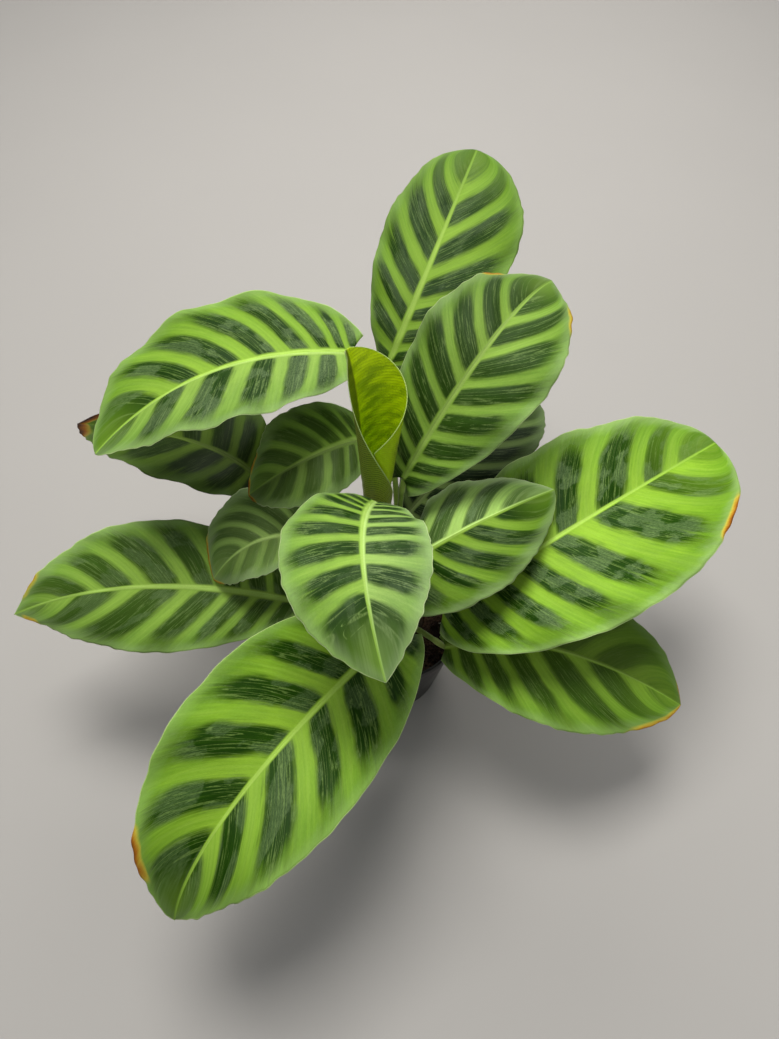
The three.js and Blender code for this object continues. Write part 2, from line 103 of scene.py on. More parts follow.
# Stalks and crown, as in the CAD model.
STALK_FOOT = 88
CROWN_RADIUS = 30
CROWN_BOTTOM = 80
CROWN_TOP = 109
CROWN_EDGE_TOP = 102
STALK_BOTTOM_RADIUS = 3
STALK_TOP_RADIUS = 1.9
STALK_RISE = 0.45  # share of the span over which it still heads straight up
STALK_NOD = 0.06  # share of the span over which it turns to the blade's own direction
STALK_DROP = 1.3  # how far its end lies under the start of the midrib
PULVINUS_RADIUS = 2.4  # the swollen joint under the blade
PULVINUS_LENGTH = 14
CLEARANCE = 0.3

# Finer shape of the stalks and crown.
STALK_SIDES = 20
STALK_STEPS = 56
GROOVE_DEPTH = 0.07  # share of the stalk's radius
GROOVE_SPREAD = 0.5  # radians
CROWN_SIDES = 96
CROWN_RINGS = 26
CROWN_ROUGHNESS = 0.9
COLLAR_RISE = 1.3  # ring of old leaf bases round each stalk
COLLAR_RADIUS = 4.6
COLLAR_SPREAD = 1.6
SHEATH_RADIUS = 3.9
SHEATH_FLARE = 2.2
SHEATH_HALF_THICKNESS = 0.15
LEAST_SHEATH_PLACE = 14  # stalks nearer the middle than this have no sheath

# Soil and pot, as in the CAD model.
SOIL_LEVEL = 101
SOIL_LUMP = 1.6  # how far lumps rise above it or fall below it
POT_HEIGHT = 115
POT_TOP_RADIUS = 63
POT_FOOT_RADIUS = 47
POT_WALL = 1.6
POT_FLOOR = 2
RIM_RADIUS = 66
RIM_HEIGHT = 9
RIM_BOTTOM = POT_HEIGHT - RIM_HEIGHT
FOOT_CHANNEL_INNER = 26  # shallow ring in the underside, where the drainage holes are
FOOT_CHANNEL_OUTER = 38
FOOT_CHANNEL_DEPTH = 1.5
FLOOR_TOP = FOOT_CHANNEL_DEPTH + POT_FLOOR
DRAIN_HOLES = 6
DRAIN_HOLE_RADIUS = 4
DRAIN_HOLE_PLACE = (FOOT_CHANNEL_INNER + FOOT_CHANNEL_OUTER) / 2
SOIL_BOTTOM = FLOOR_TOP + CLEARANCE
WALL_SLOPE = (POT_TOP_RADIUS - POT_FOOT_RADIUS) / RIM_BOTTOM

# Finer shape of the soil and pot.
SOIL_SIDES = 120
SOIL_RINGS = 22
SOIL_ROUGHNESS = 0.9
RIM_THICKNESS = 2.6
WALL_STEP = 0.35  # a faint moulded step round the lower wall
GRAIN_SIDES = 6  # of a loose crumb or grain of perlite

# The stage, in metres, degrees and watts. The camera looks along the tilted view of the photograph.
CAMERA_PLACE = (0, -0.310, 0.719)
CAMERA_TILT = 33.7  # from straight down
CAMERA_LENS = 27.03  # mm
SENSOR_WIDTH = 36  # mm
FLOOR_REACH = 6
LIT_PLACE = (0, 0.05, 0.2)
SOFTBOXES = (  # name, place, side, power and colour
    ("back_window", (0.2, 1.7, 1.5), 1.2, 15, (1.0, 0.98, 0.95)),
    ("ceiling_panel", (-0.15, 0.35, 2.1), 0.8, 31, (1.0, 0.99, 0.96)),
    ("side_fill", (1.5, -0.8, 1.1), 0.9, 3, (0.95, 0.98, 1.0)),
)

# The open leaves. base, mid, tip, width, fold, droop, roll, twist, shoulder, belly, point, lean, waves, wave
# and phase are those of the CAD model. left_veins and right_veins give, for the vein in the middle of each
# light stripe, its place along the leaf at the midrib and near the margin. light is the share of each band
# that is light, tone_and_shade and vivid are the brightness and the vividness of the left and the right
# half, rib is the brightness of the midrib, margin_sheen and bloom_and_sheen are how whitish the margin and
# how worn the bands are, and depth is how dark the bands of each half are. The brightness holds painted
# shade as well as the leaf's own lightness: leaves that lie under others are made darker. The whitish margin
# is painted sheen, and the grey patches on the bands are partly painted sheen where the velvet catches the
# light.
# Each mark of scorch is a side (-1 left, 1 right), the stretch of margin that it takes, how many millimetres
# it reaches in, and how brown it is.
OPEN_LEAVES = {
    "leaf_left_high": dict(
        root=(0, 25), base=(-25, 83, 336), mid=(-122, 65, 335), tip=(-198, 18, 306),
        width=109, fold=15, droop=13, roll=14, twist=-26, shoulder=0.54, belly=1.5, point=0.7, lean=0.03,
        waves=4, wave=3, phase=0.1, light=0.45, tone_and_shade=(0.88, 0.95), teeth=0.35,
        rib=1.1, vivid=(0.92, 1.0), margin_sheen=0.2, bloom_and_sheen=1.0, depth=(1.0, 1.0),
        left_veins=((0.04, 0.03), (0.12, 0.16), (0.23, 0.29), (0.36, 0.48), (0.54, 0.72), (0.73, 0.91)),
        right_veins=((0.01, 0.06), (0.05, 0.14), (0.11, 0.27), (0.22, 0.39), (0.34, 0.56), (0.49, 0.69),
                     (0.64, 0.82)),
        scorch=(),
    ),
    "leaf_left_under": dict(
        root=(-22, 13), base=(-108, 68, 214), mid=(-164, 93, 230), tip=(-280, 150, 184),
        width=104, fold=15, droop=14, roll=-5, twist=-3, shoulder=0.5, belly=2, point=0.85, lean=0.05,
        waves=4, wave=2.5, phase=0.5, light=0.36, tone_and_shade=(0.3, 0.26), teeth=0.3,
        rib=0.8, vivid=(1.0, 1.0), margin_sheen=0.1, bloom_and_sheen=0.1, depth=(0.9, 0.9),
        left_veins=((0.07, 0.12), (0.22, 0.31), (0.43, 0.52), (0.61, 0.72), (0.78, 0.91)),
        right_veins=((0.08, 0.18), (0.23, 0.35), (0.40, 0.55), (0.55, 0.70), (0.70, 0.84), (0.83, 0.94)),
        scorch=((-1, 0.86, 1.0, 8, 1.0), (1, 0.88, 1.0, 8, 1.0)),
    ),
    "leaf_left_inner": dict(
        root=(-14, 14), base=(-17, 60, 273), mid=(-56, 36, 281), tip=(-106, 31, 240),
        width=70, fold=16, droop=12, roll=38, twist=-16, shoulder=0.54, belly=2.4, point=0.8, lean=0.05,
        waves=3, wave=2, phase=0.3, light=0.36, tone_and_shade=(0.56, 0.85), teeth=0.2,
        rib=0.8, vivid=(0.9, 0.95), margin_sheen=0.2, bloom_and_sheen=0.1, depth=(0.7, 0.75),
        left_veins=((0.05, 0.08), (0.12, 0.20), (0.20, 0.32), (0.37, 0.50), (0.56, 0.70), (0.77, 0.90)),
        right_veins=((0.05, 0.10), (0.10, 0.25), (0.19, 0.40), (0.34, 0.54), (0.50, 0.77), (0.71, 0.94)),
        scorch=((1, 0.82, 0.95, 2, 0.6), (1, 0.93, 1.0, 2.5, 0.75), (-1, 0.93, 1.0, 2.5, 0.75)),
    ),
    "leaf_left_small": dict(
        root=(-20, -5), base=(-47, 12, 203), mid=(-94, -1, 228), tip=(-134, -18, 198),
        width=76, fold=20, droop=18, roll=-2, twist=6, shoulder=0.5, belly=2.6, point=0.8, lean=0.16,
        waves=3, wave=2, phase=0.7, light=0.38, tone_and_shade=(0.62, 0.85), teeth=0.2,
        rib=1.0, vivid=(0.85, 0.85), margin_sheen=0.3, bloom_and_sheen=0.1, depth=(0.45, 0.7),
        left_veins=((0.10, 0.14), (0.22, 0.31), (0.35, 0.46), (0.47, 0.61), (0.65, 0.80)),
        right_veins=((0.07, 0.15), (0.17, 0.42), (0.29, 0.65), (0.45, 0.79), (0.62, 0.93)),
        scorch=((1, 0.8, 1.0, 2.5, 0.65), (-1, 0.9, 1.0, 2, 0.6)),
    ),
    "leaf_left_low": dict(
        root=(-17, -14), base=(-78, -24, 176), mid=(-192, -22, 194), tip=(-300, -27, 158),
        width=103, fold=12, droop=27, roll=15, twist=22, shoulder=0.55, belly=1.9, point=1, lean=0.02,
        waves=4, wave=3, phase=0.8, light=0.38, tone_and_shade=(0.96, 1.02), teeth=0.4,
        rib=1.0, vivid=(0.95, 0.95), margin_sheen=0.2, bloom_and_sheen=0.8, depth=(0.88, 0.88),
        left_veins=((0.03, 0.09), (0.10, 0.22), (0.19, 0.34), (0.31, 0.52), (0.51, 0.80), (0.78, 0.94)),
        right_veins=((0.06, 0.10), (0.14, 0.20), (0.22, 0.33), (0.32, 0.48), (0.48, 0.65), (0.64, 0.80),
                     (0.82, 0.97)),
        scorch=((1, 0.82, 0.97, 3.5, 0.4), (-1, 0.9, 0.98, 3, 0.5)),
    ),
    "leaf_front_long": dict(
        root=(-1, -20), base=(4, -52, 178), mid=(-92, -178, 211), tip=(-138, -246, 160),
        width=130, fold=18, droop=5, roll=10, twist=5, shoulder=0.57, belly=1.2, point=1, lean=0.04,
        waves=4, wave=3, phase=0.2, light=0.44, tone_and_shade=(0.95, 0.93), teeth=0.35,
        rib=0.95, vivid=(1.0, 1.02), margin_sheen=0.15, bloom_and_sheen=0.7, depth=(1.0, 1.0),
        left_veins=((0.03, 0.06), (0.09, 0.19), (0.19, 0.34), (0.30, 0.48), (0.45, 0.73), (0.64, 0.91)),
        right_veins=((0.04, 0.07), (0.10, 0.19), (0.19, 0.30), (0.29, 0.44), (0.43, 0.60), (0.58, 0.76)),
        scorch=((1, 0.70, 0.88, 4, 0.75),),
    ),
    "leaf_front_high": dict(
        root=(-8, -9), base=(-10, 0, 276), mid=(-16, -68, 320), tip=(-2, -141, 298),
        width=92, fold=14, droop=18, roll=5, twist=-10, shoulder=0.52, belly=2.8, point=0.9, lean=0.09,
        waves=4, wave=2, phase=0.6, light=0.4, tone_and_shade=(1.05, 0.92), teeth=0.2,
        rib=1.0, vivid=(0.85, 0.95), margin_sheen=0.2, bloom_and_sheen=0.4, depth=(1.0, 1.0),
        left_veins=((0.05, 0.02), (0.10, 0.08), (0.16, 0.15), (0.25, 0.25), (0.32, 0.33), (0.42, 0.44),
                    (0.53, 0.60), (0.67, 0.78)),
        right_veins=((0.05, 0.00), (0.12, 0.06), (0.17, 0.12), (0.22, 0.19), (0.32, 0.34), (0.41, 0.46),
                     (0.53, 0.61), (0.65, 0.74)),
        scorch=(),
    ),
    "leaf_right_inner": dict(
        root=(6, -8), base=(-4, -19, 200), mid=(50, -14, 260), tip=(121, 27, 253),
        width=95, fold=6, droop=40, roll=3, twist=-14, shoulder=0.45, belly=1.6, point=0.68, lean=0.07,
        waves=4, wave=2, phase=0.4, light=0.42, tone_and_shade=(1.35, 0.82), teeth=0.2,
        rib=0.95, vivid=(0.85, 1.0), margin_sheen=0.4, bloom_and_sheen=0.8, depth=(0.9, 1.0),
        left_veins=((0.05, 0.12), (0.22, 0.50), (0.46, 0.74), (0.66, 0.92)),
        right_veins=((0.06, 0.13), (0.22, 0.40), (0.30, 0.55), (0.45, 0.74), (0.62, 0.91)),
        scorch=(),
    ),
    "leaf_back_right_high": dict(
        root=(6, 8), base=(10, 24, 271), mid=(66, 76, 350), tip=(117, 146, 346),
        width=101, fold=11, droop=27, roll=-5, twist=-6, shoulder=0.6, belly=1.5, point=0.8, lean=0.03,
        waves=4, wave=2.5, phase=0.9, light=0.37, tone_and_shade=(0.7, 0.9), teeth=0.25,
        rib=0.75, vivid=(0.95, 0.95), margin_sheen=0.25, bloom_and_sheen=0.15, depth=(0.95, 0.95),
        left_veins=((0.02, 0.05), (0.07, 0.15), (0.15, 0.26), (0.24, 0.38), (0.34, 0.54), (0.48, 0.71),
                    (0.62, 0.86)),
        right_veins=((0.02, 0.07), (0.07, 0.14), (0.15, 0.24), (0.24, 0.38), (0.33, 0.52), (0.45, 0.76),
                     (0.61, 0.90)),
        scorch=((-1, 0.74, 0.86, 3, 0.6), (1, 0.72, 0.9, 3, 0.5)),
    ),
    "leaf_back": dict(
        root=(10, 19), base=(0, 112, 300), mid=(33, 182, 340), tip=(73, 310, 347),
        width=106, fold=10, droop=30, roll=-1, twist=-6, shoulder=0.6, belly=2.7, point=0.5, lean=0.12,
        waves=4, wave=2.5, phase=0.25, light=0.44, tone_and_shade=(0.68, 0.75), teeth=0.35,
        rib=0.95, vivid=(1.0, 1.0), margin_sheen=0.15, bloom_and_sheen=0.4, depth=(1.0, 1.0),
        left_veins=((0.05, 0.12), (0.15, 0.33), (0.27, 0.48), (0.42, 0.66), (0.61, 0.88), (0.77, 0.98)),
        right_veins=((0.06, 0.17), (0.17, 0.29), (0.27, 0.43), (0.40, 0.68), (0.58, 0.88), (0.77, 1.02)),
        scorch=(),
    ),
    "leaf_right_broad": dict(
        root=(19, -7), base=(41, -34, 179), mid=(131, 2, 236), tip=(267, 97, 222),
        width=147, fold=14, droop=18, roll=-5, twist=-3, shoulder=0.53, belly=1.8, point=0.5, lean=0.09,
        waves=5, wave=3.5, phase=0.55, light=0.46, tone_and_shade=(1.03, 1.16), teeth=0.5,
        rib=1.0, vivid=(1.0, 1.02), margin_sheen=0.3, bloom_and_sheen=1.0, depth=(1.0, 1.0),
        left_veins=((0.07, 0.09), (0.18, 0.27), (0.30, 0.43), (0.44, 0.58), (0.56, 0.74), (0.73, 0.88),
                    (0.84, 0.96)),
        right_veins=((0.07, 0.16), (0.17, 0.27), (0.28, 0.40), (0.39, 0.52), (0.53, 0.67), (0.71, 0.88),
                     (0.86, 0.99)),
        scorch=((1, 0.78, 0.94, 4, 0.7),),
    ),
    "leaf_right_low": dict(
        root=(14, -17), base=(45, -48, 142), mid=(128, -61, 166), tip=(233, -87, 117),
        width=114, fold=11, droop=25, roll=-10, twist=-4, shoulder=0.6, belly=2.2, point=0.7, lean=0.03,
        waves=4, wave=3, phase=0.35, light=0.4, tone_and_shade=(0.6, 1.0), teeth=0.35,
        rib=0.85, vivid=(1.0, 1.0), margin_sheen=0.2, bloom_and_sheen=0.1, depth=(0.5, 0.85),
        left_veins=((0.10, 0.17), (0.25, 0.38), (0.42, 0.60), (0.60, 0.81), (0.79, 0.96)),
        right_veins=((0.04, 0.08), (0.13, 0.25), (0.23, 0.42), (0.37, 0.65), (0.56, 0.89), (0.79, 1.00)),
        scorch=((1, 0.8, 1.0, 4, 0.55), (-1, 0.95, 1.0, 2, 0.5)),
    ),
    "leaf_back_right_under": dict(
        root=(18, 17), base=(11, 55, 170), mid=(67, 95, 215), tip=(131, 166, 197),
        width=86, fold=13, droop=23, roll=0, twist=0, shoulder=0.5, belly=2.3, point=0.7, lean=0,
        waves=4, wave=2, phase=0.15, light=0.38, tone_and_shade=(0.3, 0.5), teeth=0.3,
        rib=0.8, vivid=(0.8, 0.8), margin_sheen=0.2, bloom_and_sheen=0.0, depth=(1.0, 1.0),
        left_veins=((0.07, 0.12), (0.17, 0.28), (0.29, 0.45), (0.44, 0.63), (0.60, 0.80), (0.77, 0.93)),
        right_veins=((0.05, 0.10), (0.14, 0.24), (0.25, 0.40), (0.38, 0.57), (0.53, 0.74), (0.69, 0.88)),
        scorch=(),
    ),
}

# The young leaf, rolled round a nearly upright axis, as in the CAD model.
ROLLED = dict(
    name="leaf_rolled", root=(-12, 3), base=(-11, 12, 196), top=(-5, 35, 374), base_radius=4.5,
    top_radius=19.5, flare=6, flare_curve=8, facing=-1, left_reach=4.2, right_reach=4.4, tip_reach=0.12,
    left_opening=0.75, right_opening=0.36, left_bluntness=1.1, right_bluntness=0.75, spiral=-0.36,
)
ROLLED_ROWS = 120
ROLLED_COLUMNS = 150
RIPPLE_SPACING = 9  # from one furrow over its veins to the next
RIPPLE_CLIMB = 13  # how far a furrow climbs over the first radian round the scroll
RIPPLE_DEPTH = 0.12
RIPPLE_FADE = 4  # from the rim
ARC_SPACING = 2.1  # from one fine arc on its outside to the next
ARC_CLIMB = 4  # how far an arc climbs over the first radian
CLIMB_CURVE = 1.2  # above 1, furrows and arcs climb more the further round they are
YOUNG_RIB_HALF_WIDTH = 1.5
YOUNG_RIB_RISE = 0.15
YOUNG_RIB_DEPTH = 0.5
YOUNG_PATTERN = 91  # its place among the leaves' fine patterns


def linear(code):
    """The linear colour of an sRGB hex code."""
    channels = [int(code[i:i + 2], 16) / 255 for i in (1, 3, 5)]
    return tuple(c / 12.92 if c <= 0.04045 else ((c + 0.055) / 1.055) ** 2.4 for c in channels)


def paint(name, code, words):
    """A colour that a user can change, which starts from a hex code."""
    return FloatVectorProperty(name=name, description=words, subtype="COLOR", size=3, min=0, max=1,
                               default=linear(code))


def length(name, millimetres, words):
    """A length that a user can change, given here in millimetres."""
    return FloatProperty(name=name, description=words, unit="LENGTH", min=0, default=millimetres * MM)


class CalatheaLeafSizes(bpy.types.PropertyGroup):
    thickness: length("Thickness", 0.5, "Thickness of a blade beside its midrib")
    rib_rise: length("Midrib rise", 0.45, "Height of the midrib over the upper side")
    vein_relief: length("Vein relief", 1.1, "Depth of the furrow over each side vein")
    pleat: length("Margin pleats", 0.4, "Height of the small pleats along the margin")
    tooth: length("Margin points", 0.5, "How far the margin stands out where a side vein reaches it")
    young_thickness: length("Young thickness", 0.45, "Thickness of the rolled leaf")


class CalatheaPotSizes(bpy.types.PropertyGroup):
    sides: IntProperty(name="Sides", description="Sides of the turned pot", min=24, default=168)
    crumb_size: length("Crumb size", 1.5, "Mean half width of a crumb of potting mix")
    crumbs: IntProperty(name="Crumbs", description="Number of loose crumbs", min=0, default=420)
    perlite_size: length("Perlite size", 1.5, "Mean half width of a grain of perlite")
    perlite: IntProperty(name="Perlite", description="Number of grains of perlite", min=0, default=26)


class CalatheaColours(bpy.types.PropertyGroup):
    light: paint("Light stripes", "#94bd3c", "Stripes along the side veins")
    light_deep: paint("Light stripes, deep", "#72a02a", "Duller parts of the light stripes")
    dark: paint("Dark bands", "#1c3c02", "Velvety bands between the veins")
    dark_streak: paint("Dark bands, streaks", "#305606", "Paler streaks in the bands")
    lines: paint("Fine veins", "#7f9c4e", "Fine lines and scratches on the dark bands")
    # Partly painted sheen: the grey of worn velvet, and of velvet that catches the light.
    bloom_and_sheen: paint("Bloom and sheen", "#738c5a", "Grey film on the dark bands")
    margin: paint("Margin", "#7fa83c", "Green of the outer zone of a blade")
    # Painted sheen: the whitish light that the margins catch.
    margin_sheen: paint("Margin sheen", "#b9cf9a", "Whitish film along the margin")
    rib: paint("Midrib", "#b0d65c", "Midrib of an open leaf")
    edge: paint("Edge", "#c2d890", "Thin line round a blade")
    under: paint("Underside", "#6d7a3c", "Underside of a blade")
    under_dark: paint("Underside bands", "#4e4c36", "Bands that show through on the underside")
    # Painted glow: the inside is brighter than its own green, for the light that shines through the thin
    # leaf.
    young_inside_and_glow: paint("Young leaf", "#ccec08", "Inside of the rolled leaf")
    young_dark: paint("Young smudges", "#86a80c", "Smudges inside the rolled leaf")
    young_under: paint("Young outside", "#93a03a", "Outside of the rolled leaf")
    young_under_dark: paint("Young outside arcs", "#4c5c10", "Fine arcs on the outside of the rolled leaf")
    scorch_yellow: paint("Yellowing", "#d2c043", "Margin that has begun to die")
    scorch_orange: paint("Scorch", "#b5701f", "Margin that has just dried")
    scorch_brown: paint("Dead margin", "#4b2c17", "Margin that is dead")
    stalk: paint("Stalk", "#7f9a3c", "Upper part of a stalk")
    stalk_foot: paint("Stalk foot", "#5d5a2c", "Sheathed lower part of a stalk")
    pulvinus: paint("Swollen joint", "#a7bf5c", "Joint under a blade")
    crown: paint("Crown", "#5a4528", "Old leaf bases")
    sheath: paint("Dry sheaths", "#8a6a3c", "Papery sheaths round the stalks")
    soil: paint("Potting mix", "#20130d", "Peat and composted bark")
    soil_pale: paint("Dry mix", "#5b4433", "Dry crumbs and fibres")
    perlite: paint("Perlite", "#ddd9ce", "Expanded mineral grains")
    pot: paint("Pot", "#110f10", "Dark moulded plastic")
    floor: paint("Floor", "#b8b4af", "Plain floor under the pot")


def add_node(tree, kind, inputs=None, **settings):
    """Adds a shader node, with values or other nodes for its inputs, and its settings."""
    node = tree.nodes.new("ShaderNode" + kind)
    for name, value in settings.items():
        setattr(node, name, value)
    for key, value in (inputs or {}).items():
        socket = node.inputs[key]
        if isinstance(value, bpy.types.Node):
            value = next(output for output in value.outputs if output.enabled)
        if isinstance(value, bpy.types.NodeSocket):
            tree.links.new(value, socket)
        elif socket.type == "RGBA":
            socket.default_value = (*value, 1)
        else:
            socket.default_value = value
    return node


def new_material(name):
    """An empty node material, and the function that adds a node to it."""
    material = bpy.data.materials.new(name)
    material.use_nodes = True
    material.node_tree.nodes.clear()
    return material, functools.partial(add_node, material.node_tree)


def leaf_material(colours):
    """Living leaf, velvety above and smooth below.

    The eye sees light stripes along the side veins, brightest beside the pale waxy midrib, and between them
    dark velvety bands that end in soft round tips, with fine broken lines, a few pale scratches and grey
    patches where the velvet is worn, which are partly painted sheen where it catches the light. The outer
    zone is a middling green with a whitish painted sheen along the margin. Each leaf's brightness holds
    painted shade as well as its own lightness, darker for leaves that lie under others.
    """
    material, add = new_material("velvety_leaf")
    weave, trim, cast, ink, wear_and_sheen = (
        add("SeparateXYZ", {0: add("Attribute", attribute_name=field).outputs[1]}).outputs
        for field in ("weave", "trim", "cast", "ink", "wear_and_sheen"))
    band, out, along = weave
    from_edge, rib_ratio, upper = trim
    scorch, light_share, tone_and_shade = cast
    rib_tone, vividness, margin_sheen_share = ink
    rubbed_and_sheen, depth, _ = wear_and_sheen
    flat_place = add("Attribute", attribute_name="place").outputs[1]

    # Noise cells for each millimetre, across and along the side veins: streaks 2 mm wide and 20 mm long,
    # grain of 0.7 by 1.4 mm, lines 2 mm apart, scratches, and clouds of 9, 13 and 20 mm.
    streak_cells, grain_cells = (0.55, 0.05, 1), (1.5, 0.7, 1)
    line_cells, scratch_cells, scratch_turn = (0.55, 0.03, 1), (0.9, 0.05, 1), (0, 0, 0.9)
    cloud_cells, patch_cells, waver_cells = 0.11, 0.075, 0.05
    streaks = add("TexNoise", {"Vector": add("Mapping", {0: flat_place, "Scale": streak_cells}),
                               "Scale": 1.0, "Detail": 3.0, "Roughness": 0.6})
    waver = add("TexNoise", {"Vector": flat_place, "Scale": waver_cells, "Detail": 2.0})
    grain = add("TexNoise", {"Vector": add("Mapping", {0: flat_place, "Scale": grain_cells}),
                             "Scale": 1.0, "Detail": 4.0, "Roughness": 0.7})
    cloud = add("TexNoise", {"Vector": flat_place, "Scale": cloud_cells, "Detail": 4.0, "Roughness": 0.6})

    # Distance from the nearest vein, as a share of a band: 0 on the vein and 0.5 midway.
    wavered = add("Math", {0: waver, 1: 0.16, 2: add("Math", {0: band, 1: 0.08}, operation="SUBTRACT")},
                  operation="MULTIPLY_ADD")
    distance = add("Math", {0: wavered, 1: 0.5}, operation="PINGPONG")
    at_rib = add("MapRange", {"Value": out, "From Min": 0.0, "From Max": 0.14, "To Min": 0.05,
                              "To Max": 0.0})
    half_light = add("Math", {0: light_share, 1: 0.46, 2: at_rib}, operation="MULTIPLY_ADD")
    nearer = add("Math", {0: distance, 1: 0.08}, operation="SUBTRACT")
    streaked = add("Math", {0: streaks, 1: 0.16, 2: nearer}, operation="MULTIPLY_ADD")
    band_edge = add("MapRange", {
        "Value": streaked,
        "From Min": add("Math", {0: half_light, 1: 0.09}, operation="SUBTRACT"),
        "From Max": add("Math", {0: half_light, 1: 0.08}, operation="ADD"),
    }, **SMOOTH)

    # The bands end in feathered round tips, and a pale wedge runs into some of them from the margin.
    draw = add("TexWhiteNoise", {"Vector": add("CombineXYZ", {
        0: add("Math", {0: band}, operation="FLOOR"),
        1: add("SeparateXYZ", {0: flat_place}).outputs[2],
    })}, noise_dimensions="3D")
    to_middle = add("MapRange", {"Value": distance, "From Min": half_light, "From Max": 0.5})
    round_tip = add("Math", {0: to_middle, 1: 0.5}, operation="POWER")
    drawn_in = add("Math", {0: draw, 1: 0.09, 2: 0.66}, operation="MULTIPLY_ADD")
    tip_place = add("Math", {0: round_tip, 1: 0.17, 2: drawn_in}, operation="MULTIPLY_ADD")
    inward = add("Math", {0: out, 1: 0.12}, operation="SUBTRACT")
    feathered = add("Math", {0: streaks, 1: 0.24, 2: inward}, operation="MULTIPLY_ADD")
    past_tip = add("MapRange", {
        "Value": feathered,
        "From Min": add("Math", {0: tip_place, 1: 0.13}, operation="SUBTRACT"),
        "From Max": add("Math", {0: tip_place, 1: 0.1}, operation="ADD"),
        "To Max": 0.7,
    }, **SMOOTH)
    near_margin = add("MapRange", {"Value": feathered, "From Min": 0.88, "From Max": 1.0, "To Min": 1.0,
                                   "To Max": 0.0}, **SMOOTH)
    wedge_point = add("Math", {0: draw.outputs[1], 1: 0.9, 2: 0.4}, operation="MULTIPLY_ADD")
    past_point = add("Math", {0: out, 1: wedge_point}, operation="SUBTRACT")
    wedge_half = add("Math", {0: past_point, 1: 0.22}, operation="MULTIPLY")
    wedge = add("MapRange", {
        "Value": add("Math", {0: 0.5, 1: distance}, operation="SUBTRACT"),
        "From Min": wedge_half, "From Max": add("Math", {0: wedge_half, 1: 0.05}, operation="SUBTRACT"),
        "To Min": 1.0, "To Max": 0.35,
    }, **SMOOTH)
    beside_rib = add("MapRange", {"Value": rib_ratio, "From Min": 1.0, "From Max": 2.0}, **SMOOTH)
    kept_dark = add("MapRange", {"Value": along, "From Min": 0.7, "From Max": 1.0, "To Min": 1.0,
                                 "To Max": 0.35}, **SMOOTH)
    before_tip = add("Math", {0: 1.0, 1: past_tip}, operation="SUBTRACT")
    dark = band_edge
    for part in (wedge, beside_rib, near_margin, kept_dark, depth, before_tip):
        dark = add("Math", {0: dark, 1: part}, operation="MULTIPLY")

    # The light stripes fade a little on their way out and toward the tip.
    spent_out = add("MapRange", {"Value": out, "From Min": 0.1, "From Max": 0.95, "To Max": 0.65})
    spent_ahead = add("MapRange", {"Value": along, "From Min": 0.6, "From Max": 1.0, "To Max": 0.5})
    spent = add("Math", {0: spent_out, 1: spent_ahead}, operation="ADD")
    spent = add("Math", {0: streaks, 1: 1.5, 2: add("Math", {0: spent, 1: 0.7}, operation="SUBTRACT")},
                operation="MULTIPLY_ADD", use_clamp=True)
    pale = add("Mix", {0: spent, 6: colours.light, 7: colours.light_deep}, **COLOUR)
    middling = add("Mix", {0: add("MapRange", {"Value": cloud, "From Min": 0.35, "From Max": 0.65}),
                           6: colours.margin, 7: colours.light_deep}, **COLOUR)
    outer = add("MapRange", {"Value": feathered, "From Min": 0.72, "From Max": 0.98}, **SMOOTH)
    ground = add("Mix", {0: outer, 6: pale, 7: middling}, **COLOUR)
    velvet = add("Mix", {0: add("MapRange", {"Value": streaks, "From Min": 0.42, "From Max": 0.7,
                                             "To Max": 0.5}),
                         6: colours.dark, 7: colours.dark_streak}, **COLOUR)
    top = add("Mix", {0: dark, 6: ground, 7: velvet}, **COLOUR)

    # Fine lines along the veins, and a few scratches across them.
    line_noise = add("TexNoise", {"Vector": add("Mapping", {0: flat_place, "Scale": line_cells}),
                                  "Scale": 1.0, "Detail": 1.0})
    scratch_place = add("Mapping", {0: flat_place, "Rotation": scratch_turn, "Scale": scratch_cells})
    scratch_noise = add("TexNoise", {"Vector": scratch_place, "Scale": 1.0, "Detail": 1.0})
    broken = add("MapRange", {"Value": grain, "From Min": 0.35, "From Max": 0.55, "To Min": 0.35})
    lines = []
    for field, wide, strength in ((line_noise, 0.045, 0.55), (scratch_noise, 0.015, 0.6)):
        soft = add("Math", {0: add("Math", {0: field, 1: 0.5}, operation="SUBTRACT")}, operation="ABSOLUTE")
        line = add("MapRange", {"Value": soft, "From Min": wide, "From Max": 0.25 * wide,
                                "To Max": strength}, **SMOOTH)
        lines.append(add("Math", {0: line, 1: broken}, operation="MULTIPLY"))
    in_places = add("MapRange", {"Value": cloud, "From Min": 0.5, "From Max": 0.6})
    scratched = add("Math", {0: lines[1], 1: in_places}, operation="MULTIPLY")
    fine_line = add("Math", {0: lines[0], 1: scratched}, operation="MAXIMUM")
    on_band = add("Math", {0: dark, 1: 0.8, 2: 0.2}, operation="MULTIPLY_ADD")
    top = add("Mix", {0: add("Math", {0: fine_line, 1: on_band}, operation="MULTIPLY"),
                      6: top, 7: colours.lines}, **COLOUR)

    # Grey patches on the bands, with specks in them: worn velvet, and painted sheen where the velvet catches
    # the light.
    patch_noise = add("TexNoise", {"Vector": flat_place, "Scale": patch_cells, "Detail": 1.5})
    patches = add("MapRange", {
        "Value": add("Math", {0: grain, 1: 0.12, 2: patch_noise}, operation="MULTIPLY_ADD"),
        "From Min": 0.53, "From Max": 0.61}, **SMOOTH)
    specks = add("MapRange", {"Value": grain, "From Min": 0.35, "From Max": 0.65, "To Min": 0.35})
    bloom_and_sheen = add("Math", {0: 0.55, 1: rubbed_and_sheen}, operation="MULTIPLY")
    for part in (patches, specks, add("Math", {0: dark, 1: 0.85, 2: 0.12}, operation="MULTIPLY_ADD")):
        bloom_and_sheen = add("Math", {0: bloom_and_sheen, 1: part}, operation="MULTIPLY")
    top = add("Mix", {0: bloom_and_sheen, 6: top, 7: colours.bloom_and_sheen}, **COLOUR)
